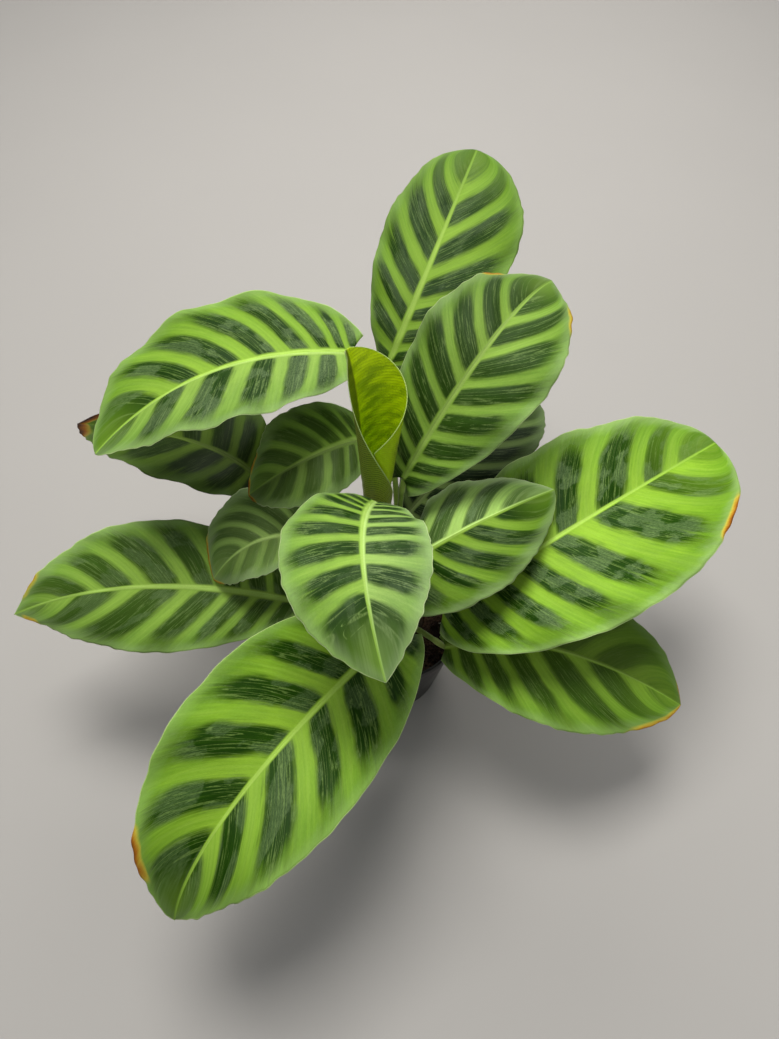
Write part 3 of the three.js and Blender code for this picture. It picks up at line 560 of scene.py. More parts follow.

    # Each light stripe has a thin vein in its middle; a whitish painted sheen lies along the margin.
    vein_line = add("MapRange", {
        "Value": add("Math", {0: band, 1: 0.5}, operation="PINGPONG"), "From Min": 0.045,
        "From Max": 0.01, "To Max": 0.1}, **SMOOTH)
    top = add("Mix", {0: vein_line, 6: top, 7: colours.rib}, **COLOUR)
    # Painted sheen: a whitish band along the margin, uneven in clouds, stands for the light that the velvety
    # margin catches.
    margin_sheen = add("Math", {0: cloud, 1: -14, 2: add("Math", {0: from_edge, 1: 7}, operation="ADD")},
               operation="MULTIPLY_ADD")
    margin_sheen = add("MapRange", {"Value": margin_sheen, "From Min": 9, "From Max": 0}, **SMOOTH)
    top = add("Mix", {0: add("Math", {0: margin_sheen, 1: margin_sheen_share}, operation="MULTIPLY"),
                      6: top, 7: colours.margin_sheen}, **COLOUR)
    rib = add("MapRange", {"Value": rib_ratio, "From Min": 1.35, "From Max": 0.65}, **SMOOTH)
    rib_fade = add("MapRange", {"Value": along, "From Min": 0.55, "From Max": 1.0, "To Max": 0.6})
    rib_colour = add("Mix", {0: rib_fade, 6: colours.rib, 7: colours.light_deep}, **COLOUR)
    rib_colour = add("HueSaturation", {"Color": rib_colour, "Value": rib_tone})
    top = add("Mix", {0: rib, 6: top, 7: rib_colour}, **COLOUR)
    edge = add("MapRange", {
        "Value": add("Math", {0: from_edge, 1: grain}, operation="ADD"),
        "From Min": 1.1, "From Max": 0.75, "To Max": 0.8}, **SMOOTH)
    top = add("Mix", {0: edge, 6: top, 7: colours.edge}, **COLOUR)
    top = add("HueSaturation", {"Color": top, "Saturation": vividness})

    # The underside shows the bands faintly, through a bronze skin.
    below = add("Mix", {0: add("Math", {0: dark, 1: 0.75}, operation="MULTIPLY"),
                        6: colours.under, 7: colours.under_dark}, **COLOUR)
    below = add("Mix", {0: lines[0], 6: below, 7: colours.under_dark}, **COLOUR)
    below = add("Mix", {0: add("Math", {0: rib, 1: 0.75}, operation="MULTIPLY"),
                        6: below, 7: colours.rib}, **COLOUR)
    both = add("Mix", {0: upper, 6: below, 7: top}, **COLOUR)

    # Dying margin: yellow, then orange-brown, then dead brown.
    unevenly = add("Math", {0: cloud, 1: 1.2, 2: 0.4}, operation="MULTIPLY_ADD")
    patchy = add("Math", {0: scorch, 1: unevenly}, operation="MULTIPLY")
    ramp = add("ValToRGB", {0: patchy})
    stops = ((0.3, colours.scorch_yellow), (0.62, colours.scorch_orange), (0.95, colours.scorch_brown))
    elements = ramp.color_ramp.elements
    elements.new(stops[1][0])
    for element, (place, colour) in zip(elements, stops):
        element.position = place
        element.color = (*colour, 1)
    dying = add("MapRange", {"Value": patchy, "From Min": 0.1, "From Max": 0.42}, **SMOOTH)
    both = add("Mix", {0: dying, 6: both, 7: ramp.outputs[0]}, **COLOUR)
    freckled = add("Math", {0: grain, 1: 0.4, 2: 0.65}, operation="MULTIPLY_ADD")
    uneven = add("Math", {0: waver, 1: 0.3, 2: freckled}, operation="MULTIPLY_ADD")
    # Painted shade: the brightness of each half is the leaf's own lightness and painted shade together,
    # darker for leaves that lie under others, with random unevenness on top.
    brightness = add("Math", {0: tone_and_shade, 1: uneven}, operation="MULTIPLY")
    shade = add("HueSaturation", {"Color": both, "Value": brightness})

    velvet_rough = add("Math", {0: dark, 1: -0.06, 2: 0.47}, operation="MULTIPLY_ADD")
    rough = add("Math", {0: grain, 1: 0.16, 2: velvet_rough}, operation="MULTIPLY_ADD")
    height = add("Math", {0: lines[0], 1: -0.5, 2: grain}, operation="MULTIPLY_ADD")
    bump = add("Bump", {"Height": height, "Strength": 0.35, "Distance": 0.00025})
    shader = add("BsdfPrincipled", {
        "Base Color": shade, "Roughness": rough, "Normal": bump, "IOR": 1.4,
        "Specular IOR Level": 0.13, "Sheen Weight": 0.005, "Sheen Roughness": 0.4,
    })
    add("OutputMaterial", {0: shader})
    return material


def young_material(colours):
    """Young leaf, thin and moist.

    The eye sees a vivid yellow-green inside, brightened with painted glow of the light that shines through
    the thin leaf, with smudged darker patches, a fine mesh and a dull strip by one rim, and outside an olive
    skin with many fine darker arcs that climb round it, which take painted glow too by the right rim.
    """
    material, add = new_material("young_leaf")
    on_left = add("Attribute", attribute_name="on_left").outputs[2]
    flat_place = add("Attribute", attribute_name="place").outputs[1]
    trim = add("SeparateXYZ", {0: add("Attribute", attribute_name="trim").outputs[1]})
    from_edge, rib_ratio, upper = trim.outputs
    smudge_cells, mesh_cells = (0.13, 0.05, 1), 0.9  # smudges of 8 by 20 mm and a mesh of 1 mm
    smudge = add("TexNoise", {"Vector": add("Mapping", {0: flat_place, "Scale": smudge_cells}),
                              "Scale": 1.0, "Detail": 3.0})
    mesh_of_veins = add("TexNoise", {"Vector": flat_place, "Scale": mesh_cells, "Detail": 3.0,
                                     "Roughness": 0.7})
    climb = add("SeparateXYZ", {0: flat_place}).outputs[0]
    arc = add("Math", {0: climb, 1: 2 * math.pi / ARC_SPACING}, operation="MULTIPLY")
    arc = add("Math", {0: arc}, operation="SINE")
    arc = add("MapRange", {"Value": arc, "From Min": -0.2, "From Max": 0.9}, **SMOOTH)
    broken = add("MapRange", {"Value": mesh_of_veins, "From Min": 0.35, "From Max": 0.6, "To Min": 0.3})
    arcs = add("Math", {0: arc, 1: broken}, operation="MULTIPLY")
    smudged = add("Math", {0: mesh_of_veins, 1: 0.35, 2: smudge}, operation="MULTIPLY_ADD")
    inside = add("Mix", {0: add("MapRange", {"Value": smudged, "From Min": 0.62, "From Max": 0.82,
                                             "To Max": 0.8}),
                         6: colours.young_inside_and_glow, 7: colours.young_dark}, **COLOUR)
    inside = add("Mix", {0: add("Math", {0: arcs, 1: 0.2}, operation="MULTIPLY"),
                         6: inside, 7: colours.young_dark}, **COLOUR)
    on_left = add("Math", {0: on_left, 1: 0.5}, operation="GREATER_THAN")
    inside = add("Mix", {0: add("Math", {0: on_left, 1: 0.85}, operation="MULTIPLY"),
                         6: inside, 7: colours.young_under_dark}, **COLOUR)
    outside = add("Mix", {0: arcs, 6: colours.young_under, 7: colours.young_under_dark}, **COLOUR)
    # Light shines through where only one layer lies under the right rim.
    lit = add("MapRange", {"Value": from_edge, "From Min": 22, "From Max": 10})
    lit = add("Math", {0: lit, 1: add("Math", {0: on_left, 1: -0.75, 2: 0.75}, operation="MULTIPLY_ADD")},
              operation="MULTIPLY")
    outside = add("Mix", {0: lit, 6: outside, 7: colours.young_inside_and_glow}, **COLOUR)
    skin = add("Mix", {0: upper, 6: outside, 7: inside}, **COLOUR)
    rib = add("MapRange", {"Value": rib_ratio, "From Min": 1.4, "From Max": 0.6, "To Max": 0.35}, **SMOOTH)
    skin = add("Mix", {0: rib, 6: skin, 7: colours.young_inside_and_glow}, **COLOUR)
    rim = add("MapRange", {"Value": from_edge, "From Min": 1.1, "From Max": 0.3, "To Max": 0.7}, **SMOOTH)
    skin = add("Mix", {0: rim, 6: skin, 7: colours.edge}, **COLOUR)
    bump = add("Bump", {"Height": add("Math", {0: arcs, 1: mesh_of_veins}, operation="ADD"),
                        "Strength": 0.3, "Distance": 0.0003})
    shader = add("BsdfPrincipled", {
        "Base Color": skin, "Roughness": 0.42, "Normal": bump, "IOR": 1.4, "Specular IOR Level": 0.35,
    })
    add("OutputMaterial", {0: shader})
    return material


def add_piece(name, points, faces, material, replaces=(), fields=None, smooth=True):
    """A mesh piece from points in millimetres, its material, its fields and what the frame needs to know."""
    mesh = bpy.data.meshes.new(name)
    mesh.from_pydata((np.asarray(points) * MM).tolist(), [], faces)
    mesh.polygons.foreach_set("use_smooth", [smooth] * len(mesh.polygons))
    for field, values in (fields or {}).items():
        kind, store = ("FLOAT_VECTOR", "vector") if values.ndim == 2 else ("FLOAT", "value")
        layer = mesh.attributes.new(field, kind, "POINT")
        layer.data.foreach_set(store, values.astype(np.float32).ravel())
    mesh.materials.append(material)
    obj = bpy.data.objects.new(name, mesh)
    bpy.context.scene.collection.objects.link(obj)
    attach(obj, BODY)
    if replaces:
        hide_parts(*replaces)
    return obj


def stacked(*columns):
    """Points or vectors from their components, one for each point of a grid."""
    return np.stack(columns, axis=-1).reshape(-1, len(columns))


def both_sides(fields, from_edge, ratio):
    """The fields of a sheet's upper and lower points, with their place on the sheet and their side."""
    doubled = {name: np.concatenate([values, values]) for name, values in fields.items()}
    doubled["trim"] = np.concatenate(
        [stacked(from_edge, ratio, np.full_like(ratio, upper)) for upper in (1, 0)])
    return doubled


def sheet_faces(rows, columns):
    """Faces of a closed sheet whose upper points come first, row by row, and then its lower ones."""
    count = rows * columns
    index = np.arange(count).reshape(rows, columns)
    a, b = index[:-1, :-1].ravel(), index[:-1, 1:].ravel()
    c, d = index[1:, :-1].ravel(), index[1:, 1:].ravel()
    upper = np.stack([a, b, d, c], axis=1)
    lower = np.stack([a, c, d, b], axis=1) + count
    rim = np.concatenate([index[0, :-1], index[:-1, -1], index[-1, :0:-1], index[:0:-1, 0]])
    after = np.roll(rim, -1)
    wall = np.stack([rim, rim + count, after + count, after], axis=1)
    return np.concatenate([upper, lower, wall])


def tube_faces(rings, sides):
    """Faces of a tube from rings of points, closed at both ends."""
    index = np.arange(rings * sides).reshape(rings, sides)
    a, c = index[:-1], index[1:]
    quads = np.stack([a, np.roll(a, -1, axis=1), np.roll(c, -1, axis=1), c], axis=-1).reshape(-1, 4)
    return quads.tolist() + [index[0, ::-1].tolist(), index[-1].tolist()]


def unit(vectors):
    return vectors / np.linalg.norm(vectors, axis=-1, keepdims=True)


def grid_normals(points):
    """Upward unit normals of a grid of points."""
    along = np.gradient(points, axis=0)
    across = np.gradient(points, axis=1)
    return unit(np.cross(across, along))


def midrib(leaf, share):
    """Points and directions of a midrib, a quadratic curve run on straight before the base."""
    base, mid, tip = (np.array(leaf[end], float) for end in ("base", "mid", "tip"))
    control = 2 * mid - (base + tip) / 2
    ahead = np.maximum(share, 0)[..., None]
    behind = np.minimum(share, 0)[..., None]
    point = (1 - ahead) ** 2 * base + 2 * ahead * (1 - ahead) * control + ahead ** 2 * tip
    heading = (1 - ahead) * (control - base) + ahead * (tip - control)
    return point + behind * 2 * (control - base), unit(heading)


def blade_axes(leaf, heading, share):
    """The right-hand and upward directions of a blade."""
    side = unit(np.cross(heading, (0.0, 0.0, 1.0)))
    up = np.cross(side, heading)
    angle = np.radians(leaf["roll"] + leaf["twist"] * np.maximum(share, 0))[..., None]
    return side * np.cos(angle) + up * np.sin(angle), up * np.cos(angle) - side * np.sin(angle)


def half_width(leaf, share, hand):
    """Half the width of a blade at a share of its length, in millimetres."""
    shoulder, belly, point = leaf["shoulder"], leaf["belly"], leaf["point"]
    start = BASE_START + BASE_LOBE
    place = np.clip((share + start) / (1 + start), 0, 1)
    widest = (shoulder / (shoulder + point * belly)) ** (1 / belly)
    full = widest ** shoulder * (1 - widest ** belly) ** point
    outline = place ** shoulder * np.maximum(1 - place ** belly, 0) ** point / full
    return np.maximum(leaf["width"] / 2 * outline * (1 + hand * leaf["lean"]), TIP_HALF_WIDTH)


def vein_sweep(along):
    """How far ahead, as a share of the length, the veins of each row of a blade reach at its margin."""
    return VEIN_SWEEP * np.sin(np.pi * along ** SWEEP_EARLINESS) - BASE_LOBE * (1 - along) ** LOBE_FADE


def blade_point(leaf, along, across):
    """Points of a blade's middle surface, and the half width there. across is -1 and 1 at the margins."""
    out, hand = np.abs(across), np.sign(across)
    sweep = vein_sweep(along)
    place = along + sweep
    share = along + sweep * out ** VEIN_CURVE
    half = half_width(leaf, place, hand)
    fold, droop = math.radians(leaf["fold"]), math.radians(leaf["droop"])
    reach = half * (math.sin(fold) - np.sin(fold - droop * out)) / droop
    swell = np.sqrt(np.maximum(np.sin(np.pi * np.clip(place, 0, 1)), 0))
    turn = leaf["waves"] * place + leaf["phase"] + np.where(hand < 0, LEFT_WAVE_SHIFT, 0)
    waved = leaf["wave"] * out ** WAVE_RISE * swell * np.sin(2 * np.pi * turn)
    rise = half * (np.cos(fold - droop * out) - math.cos(fold)) / droop + waved
    point, heading = midrib(leaf, share)
    right, up = blade_axes(leaf, heading, share)
    return point + right * (hand * reach)[..., None] + up * rise[..., None], half


def rib_place(veins, band):
    """Place along the midrib where the vein line of a band begins."""
    starts = [at_rib for at_rib, _ in veins]
    last = len(starts) - 1
    inside = np.interp(band, range(last + 1), starts)
    before = np.minimum(band, 0) * (starts[1] - starts[0])
    return inside + before + np.maximum(band - last, 0) * (starts[-1] - starts[-2])


def band_place(veins, share, out):
    """Where a point lies among the veins: whole numbers on them, and evenly between."""
    ahead = out / VEINS_READ_AT
    forward = VEIN_START * ahead + (1 - VEIN_START) * ahead ** VEIN_BEND
    places = [at_rib + (at_margin - at_rib) * forward for at_rib, at_margin in veins]
    gaps = [after - before for before, after in zip(places, places[1:])]
    past_last = np.tanh(LAST_BAND * np.maximum(share - places[-1], 0) / gaps[-1])
    band = np.minimum(share - places[0], 0) / gaps[0] + 0.5 * past_last  # one dark band to the tip
    for before, gap in zip(places, gaps):
        band = band + np.clip((share - before) / gap, 0, 1)
    return band


def scorch_depth(leaf, along, hand, from_edge):
    """How brown each point of a blade is, from 0 to 1."""
    brown = np.zeros_like(from_edge)
    for side, start, end, depth, strength in leaf["scorch"]:
        soft = np.clip(np.minimum(along - start, end - along) / (0.3 * (end - start)), 0, 1)
        if end >= 1:
            soft = np.clip((along - start) / (0.5 * (end - start)), 0, 1)
        near = np.clip(1 - from_edge / depth, 0, 1)
        brown = np.maximum(brown, np.where(hand == side, strength * soft * near ** 0.6, 0))
    return brown


class CalatheaOpenLeaves(bpy.types.Operator):
    """Adds the thirteen open blades, each with its midrib, side veins, waved margin and stripes"""
    bl_idname = "calathea.open_leaves"
    bl_label = "Open leaves"

    def execute(self, context):
        sizes = context.scene.calathea_leaf_sizes
        colours = context.scene.calathea_colours
        material = leaf_material(colours)
        for seed, (name, leaf) in enumerate(OPEN_LEAVES.items(), start=1):
            self.add_blade(name, leaf, seed, sizes, material)
        return {"FINISHED"}

    def add_blade(self, name, leaf, seed, sizes, material):
        even = np.linspace(0, 1, BLADE_ROWS)[:, None]
        along = (even + 0.5 - 0.5 * np.cos(np.pi * even)) / 2
        middle_half = half_width(leaf, along, 0)
        rib_half = MIDRIB_HALF_WIDTH * (1 - MIDRIB_THINNING * along)
        rib_edge = np.minimum(rib_half / middle_half, MOST_MIDRIB_SHARE)
        lamina = np.linspace(0, 1, HALF_COLUMNS + 1)[1:] ** COLUMN_CROWDING
        in_rib = np.linspace(0, 1, RIB_COLUMNS + 1)
        half_row = np.concatenate([rib_edge * in_rib, rib_edge + (1 - rib_edge) * lamina], axis=1)
        across = np.concatenate([-half_row[:, :0:-1], half_row], axis=1)
        along = np.broadcast_to(along, across.shape)
        out, hand = np.abs(across), np.sign(across)

        share = along + vein_sweep(along) * out ** VEIN_CURVE
        band = np.where(hand < 0, band_place(leaf["left_veins"], share, out),
                        band_place(leaf["right_veins"], share, out))
        # The margin stands out a little where a vein reaches it, and is never quite even.
        vein_end = (0.5 + 0.5 * np.cos(2 * np.pi * band)) ** POINT_SHARPNESS
        wander = np.sin(61 * along + 2.1 * seed) + np.sin(97 * along + 1.3 * seed + hand)
        stand_out = leaf["teeth"] * sizes.tooth / MM * vein_end + MARGIN_WANDER * wander
        _, half = blade_point(leaf, along, across)
        still = np.minimum(half / STILL_WIDTH, 1)
        across = across * (1 + still * stand_out / half * out ** POINT_ZONE)
        points, half = blade_point(leaf, along, across)
        normals = grid_normals(points)

        # Side veins lie in furrows, and small pleats stand along the margin.
        furrow = -0.5 * sizes.vein_relief / MM * np.cos(2 * np.pi * band) * still
        furrow = furrow * np.sin(np.pi * np.clip(out, 0, 1) ** FURROW_LEAN) ** FURROW_FULLNESS
        pleat = np.sin(2 * np.pi * PLEATS_PER_BAND * band + seed) * still * leaf["teeth"]
        pleats = sizes.pleat / MM * out ** PLEAT_ZONE * pleat
        points = points + normals * (furrow + pleats)[..., None]

        ratio = out / np.broadcast_to(rib_edge, out.shape)
        crest = np.sqrt(np.maximum(1 - np.minimum(ratio, 1) ** 2, 0))
        thickness = sizes.thickness / MM * (1 - MARGIN_THINNING * np.clip(out, 0, 1) ** 3)
        depth = (MIDRIB_BASE_DEPTH + (MIDRIB_TIP_DEPTH - MIDRIB_BASE_DEPTH) * along) * crest
        rise = sizes.rib_rise / MM * (1 - RIB_SINKING * along) * crest
        top = points + normals * (thickness / 2 + rise)[..., None]
        under = points - normals * (thickness / 2 + depth)[..., None]

        from_edge = np.maximum((1 - out) * half, 0)
        brown = scorch_depth(leaf, share, hand, from_edge)
        rib_length = np.linalg.norm(np.subtract(leaf["tip"], leaf["base"]))
        left = hand < 0
        past_veins = np.where(left, rib_place(leaf["left_veins"], band),
                              rib_place(leaf["right_veins"], band))
        # The first of these carries painted shade: leaves that lie under others are given a darker
        # brightness.
        tone_and_shade, vivid, dark = (np.where(left, *leaf[look]) for look in ("tone_and_shade", "vivid", "depth"))
        light, rib, margin_sheen, bloom_and_sheen, pattern = (
            np.full_like(out, value)
            for value in (leaf["light"], leaf["rib"], leaf["margin_sheen"], leaf["bloom_and_sheen"], PATTERN_SHIFT * seed))
        fields = {
            "weave": stacked(band + LEFT_BANDS * left, out, along),
            "place": stacked(past_veins * rib_length, across * half, pattern),
            "cast": stacked(brown, light, tone_and_shade),
            "ink": stacked(rib, vivid, margin_sheen),
            "wear_and_sheen": stacked(bloom_and_sheen, dark, 0 * out),
        }
        both = np.concatenate([top.reshape(-1, 3), under.reshape(-1, 3)])
        add_piece(name, both, sheet_faces(*out.shape).tolist(), material, [name + "_blade"],
                  both_sides(fields, from_edge, ratio))


class CalatheaRolledLeaf(bpy.types.Operator):
    """Adds the young leaf, a scroll that opens at its top"""
    bl_idname = "calathea.rolled_leaf"
    bl_label = "Rolled leaf"

    def execute(self, context):
        sizes = context.scene.calathea_leaf_sizes
        colours = context.scene.calathea_colours
        material = young_material(colours)
        leaf = ROLLED
        along = np.linspace(0, 1, ROLLED_ROWS)[:, None]
        turn = np.linspace(0, 1, ROLLED_COLUMNS)[None, :]
        ends = []
        for side in ("left", "right"):
            closed = np.minimum((1 - along) / leaf[side + "_opening"], 1) ** leaf[side + "_bluntness"]
            ends.append(np.maximum(leaf[side + "_reach"] * closed, leaf["tip_reach"]))
        angle = -ends[0] + (ends[0] + ends[1]) * turn
        along = np.broadcast_to(along, angle.shape)
        base, top = np.array(leaf["base"], float), np.array(leaf["top"], float)
        axis = unit(top - base)
        back = unit(np.array((0.0, 1.0, 0.0)) - axis * axis[1])
        right = np.cross(back, axis)
        straight = leaf["base_radius"] + (leaf["top_radius"] - leaf["base_radius"]) * along
        radius = straight + leaf["flare"] * along ** leaf["flare_curve"]
        distance = radius + leaf["spiral"] * angle
        bearing = angle + leaf["facing"]
        points = (base + (top - base) * along[..., None]
                  + right * (distance * np.sin(bearing))[..., None]
                  + back * (distance * np.cos(bearing))[..., None])
        normals = grid_normals(points)

        height = along * np.linalg.norm(top - base)
        around = np.abs(angle)
        ratio = around * distance / (YOUNG_RIB_HALF_WIDTH * (1 - 0.5 * along))
        crest = np.sqrt(np.maximum(1 - np.minimum(ratio, 1) ** 2, 0))
        from_edge = (np.where(angle < 0, ends[0], ends[1]) - around) * distance
        furrow = np.cos(2 * np.pi * (height - RIPPLE_CLIMB * around ** CLIMB_CURVE) / RIPPLE_SPACING)
        ripple = -RIPPLE_DEPTH * furrow * np.clip(from_edge / RIPPLE_FADE, 0, 1)
        points = points + normals * ripple[..., None]
        half = sizes.young_thickness / MM / 2
        inner = points + normals * (half + YOUNG_RIB_RISE * crest)[..., None]
        outer = points - normals * (half + YOUNG_RIB_DEPTH * crest * (1 - along))[..., None]
        fields = {
            "on_left": (angle < 0).astype(float).ravel(),
            "place": stacked(height - ARC_CLIMB * around ** CLIMB_CURVE, angle * distance,
                             np.full_like(angle, YOUNG_PATTERN)),
        }
        both = np.concatenate([inner.reshape(-1, 3), outer.reshape(-1, 3)])
        add_piece(leaf["name"], both, sheet_faces(*angle.shape).tolist(), material,
                  [leaf["name"] + "_blade"], both_sides(fields, from_edge, ratio))
        return {"FINISHED"}


def stalk_material(colours):
    """Smooth petiole: green and faintly ribbed above, brownish where the sheath wraps it."""
    material, add = new_material("smooth_petiole")
    rise = add("Attribute", attribute_name="rise").outputs[2]
    swell = add("Attribute", attribute_name="swell").outputs[2]
    place = add("TexCoord").outputs["Object"]
    # Fibres about 1 mm wide and 17 mm long, and blotches of 11 mm.
    long_place = add("Mapping", {0: place, "Scale": (900, 900, 60)})
    fibres = add("TexNoise", {"Vector": long_place, "Scale": 1.0, "Detail": 3.0})
    blotch = add("TexNoise", {"Vector": place, "Scale": 90.0, "Detail": 3.0})
    sheathed = add("MapRange", {
        "Value": add("Math", {0: blotch, 1: 0.3, 2: rise}, operation="MULTIPLY_ADD"),
        "From Min": 0.55, "From Max": 0.15}, **SMOOTH)
    colour = add("Mix", {0: sheathed, 6: colours.stalk, 7: colours.stalk_foot}, **COLOUR)
    colour = add("Mix", {0: swell, 6: colour, 7: colours.pulvinus}, **COLOUR)
    value = add("Math", {0: fibres, 1: 0.5, 2: 0.75}, operation="MULTIPLY_ADD")
    shade = add("HueSaturation", {"Color": colour, "Value": value})
    bump = add("Bump", {"Height": fibres, "Strength": 0.4, "Distance": 0.0003})
    rough = add("Math", {0: sheathed, 1: 0.25, 2: 0.42}, operation="MULTIPLY_ADD")
    shader = add("BsdfPrincipled", {"Base Color": shade, "Roughness": rough, "Normal": bump, "IOR": 1.45,
                                    "Sheen Weight": 0.1})
    add("OutputMaterial", {0: shader})
    return material


def bezier(points, share):
    """Points and directions of a cubic curve."""
    a, b, c, d = (np.asarray(point, float) for point in points)
    t = share[:, None]
    point = (1 - t) ** 3 * a + 3 * (1 - t) ** 2 * t * b + 3 * (1 - t) * t ** 2 * c + t ** 3 * d
    heading = (1 - t) ** 2 * (b - a) + 2 * (1 - t) * t * (c - b) + t ** 2 * (d - c)
    return point, unit(heading)


class CalatheaStalks(bpy.types.Operator):
    """Adds a stalk for each leaf, sheathed at its foot and swollen under the blade"""
    bl_idname = "calathea.stalks"
    bl_label = "Stalks"

    def execute(self, context):
        material = stalk_material(context.scene.calathea_colours)
        zero = np.zeros(1)
        for name, leaf in OPEN_LEAVES.items():
            start, heading = midrib(leaf, zero)
            _, up = blade_axes(leaf, heading, zero)
            self.add_stalk(name, leaf["root"], (start - up * STALK_DROP)[0], heading[0], material)
        axis = unit(np.subtract(ROLLED["top"], ROLLED["base"]).astype(float))
        self.add_stalk(ROLLED["name"], ROLLED["root"], np.array(ROLLED["base"], float), axis, material)
        return {"FINISHED"}

    def add_stalk(self, name, root, end, heading, material):
        collar = np.array((*root, CROWN_TOP), float)
        span = np.linalg.norm(end - collar)
        curve = (collar, collar + (0, 0, STALK_RISE * span), end - heading * STALK_NOD * span, end)
        share = np.linspace(0, 1, STALK_STEPS)
        rough_points, _ = bezier(curve, share)
        steps = np.linalg.norm(np.diff(rough_points, axis=0), axis=1)
        run = np.concatenate([[0], np.cumsum(steps)])
        share = np.interp(np.linspace(0, run[-1], STALK_STEPS), run, share)
        centres, headings = bezier(curve, share)
        foot = np.array([(*root, STALK_FOOT)], float)
        centres = np.concatenate([foot, centres])
        headings = np.concatenate([[(0, 0, 1)], headings])
        rise = np.concatenate([[0], np.linspace(0, 1, STALK_STEPS)])
        to_blade = np.clip((1 - rise) * run[-1] / PULVINUS_LENGTH, 0, 1)
        taper = STALK_BOTTOM_RADIUS + (STALK_TOP_RADIUS - STALK_BOTTOM_RADIUS) * rise
        swell = np.maximum(np.sin(np.pi * (1 - to_blade) ** 0.7), 0)
        radius = taper + (PULVINUS_RADIUS - STALK_TOP_RADIUS) * swell
        angle = 2 * np.pi * np.arange(STALK_SIDES) / STALK_SIDES
        side = np.array((1.0, 0.0, 0.0))
        rings = []
        for centre, direction, wide in zip(centres, headings, radius):
            side = unit(side - direction * side.dot(direction))
            other = np.cross(direction, side)
            # A shallow groove runs up the stalk.
            groove = 1 - GROOVE_DEPTH * np.exp(-((angle - np.pi) / GROOVE_SPREAD) ** 2)
            ring = side * (np.cos(angle) * groove)[:, None] + other * (np.sin(angle) * groove)[:, None]
            rings.append(centre + wide * ring)
        points = np.concatenate(rings)
        fields = {"rise": np.repeat(rise, STALK_SIDES), "swell": np.repeat(swell, STALK_SIDES)}
        add_piece(name + "_petiole", points, tube_faces(len(rings), STALK_SIDES), material,
                  [name + "_stalk"], fields)


def lumps(x, y):
    """Lumps in the soil and the crown, from 1 down to -1, as in the CAD model."""
    return (np.sin(0.21 * x + 1.3) * np.sin(0.24 * y - 0.7) + 0.6 * np.sin(0.43 * x - 0.35 * y)
            + 0.4 * np.cos(0.37 * x + 0.52 * y + 2)) / 2


def rough_height(x, y, size, seed):
    """Fine unevenness at a place, about -1 to 1, with lumps of a size in millimetres."""
    return noise.fractal(Vector((x / size, y / size, seed)), 0.8, 2.2, 4)


def turned(profile, sides):
    """Points and faces of a body turned from a profile that starts and ends on the axis."""
    ring = [(radius, height) for radius, height in profile[1:-1]]
    angle = 2 * np.pi * np.arange(sides) / sides
    points = [(0, 0, profile[0][1])]
    for radius, height in ring:
        points += [(radius * math.cos(a), radius * math.sin(a), height) for a in angle]
    points.append((0, 0, profile[-1][1]))
    last = len(points) - 1
    faces = [(0, 1 + (i + 1) % sides, 1 + i) for i in range(sides)]
    for row in range(len(ring) - 1):
        start = 1 + row * sides
        for i in range(sides):
            j = (i + 1) % sides
            faces.append((start + i, start + j, start + sides + j, start + sides + i))
    start = 1 + (len(ring) - 1) * sides
    faces += [(start + i, start + (i + 1) % sides, last) for i in range(sides)]
    return np.array(points, float), faces


def cut_round_holes(obj, holes, sides=24):
    """Cuts upright holes, each (x, y, radius, bottom, top) in millimetres, out of a piece."""
    points = []
    faces = []
    for x, y, radius, bottom, top in holes:
        start = len(points)
        for height in (bottom, top):
            points += [(x + radius * math.cos(2 * math.pi * i / sides),
                        y + radius * math.sin(2 * math.pi * i / sides), height) for i in range(sides)]
        faces += [(start + i, start + (i + 1) % sides, start + sides + (i + 1) % sides, start + sides + i)
                  for i in range(sides)]
        faces += [tuple(range(start + sides - 1, start - 1, -1)),
                  tuple(range(start + sides, start + 2 * sides))]
    mesh = bpy.data.meshes.new("cutter")
    mesh.from_pydata((np.array(points) * MM).tolist(), [], faces)
    cutter = bpy.data.objects.new("cutter", mesh)
    bpy.context.scene.collection.objects.link(cutter)
    modifier = obj.modifiers.new("holes", "BOOLEAN")
    modifier.object = cutter
    modifier.operation = "DIFFERENCE"
    modifier.solver = "EXACT"
    graph = bpy.context.evaluated_depsgraph_get()
    result = bpy.data.meshes.new_from_object(obj.evaluated_get(graph))
    obj.modifiers.remove(modifier)
    old = obj.data
    obj.data = result
    bpy.data.meshes.remove(old)
    bpy.data.objects.remove(cutter)
    bpy.data.meshes.remove(mesh)


def pot_material(colour):
    """Injection-moulded polypropylene: black, satin, with fine scuffs and a film of dust."""
    material, add = new_material("moulded_polypropylene")
    place = add("TexCoord").outputs["Object"]
    # Clouds of dust 36 mm across, a moulded grain of 1 mm, and scuffs round the wall 17 mm long.
    cloud = add("TexNoise", {"Vector": place, "Scale": 28.0, "Detail": 5.0})
    grain = add("TexNoise", {"Vector": place, "Scale": 900.0, "Detail": 2.0})
    scuff_place = add("Mapping", {0: place, "Scale": (60, 60, 900)})
    scuffs = add("TexNoise", {"Vector": scuff_place, "Scale": 1.0, "Detail": 4.0})
    dust = add("MapRange", {"Value": cloud, "From Min": 0.5, "From Max": 0.78, "To Max": 0.2})
    mixed = add("Mix", {0: dust, 6: colour, 7: linear("#5a5048")}, **COLOUR)
    worn = add("MapRange", {"Value": scuffs, "From Min": 0.6, "From Max": 0.75, "To Max": 0.35})
    mixed = add("Mix", {0: worn, 6: mixed, 7: linear("#4a4644")}, **COLOUR)
    rough = add("Math", {0: cloud, 1: 0.3, 2: 0.22}, operation="MULTIPLY_ADD")
    height = add("Math", {0: grain, 1: scuffs}, operation="ADD")
    bump = add("Bump", {"Height": height, "Strength": 0.15, "Distance": 0.0003})
    shader = add("BsdfPrincipled", {"Base Color": mixed, "Roughness": rough, "Normal": bump, "IOR": 1.49})
    add("OutputMaterial", {0: shader})
    return material


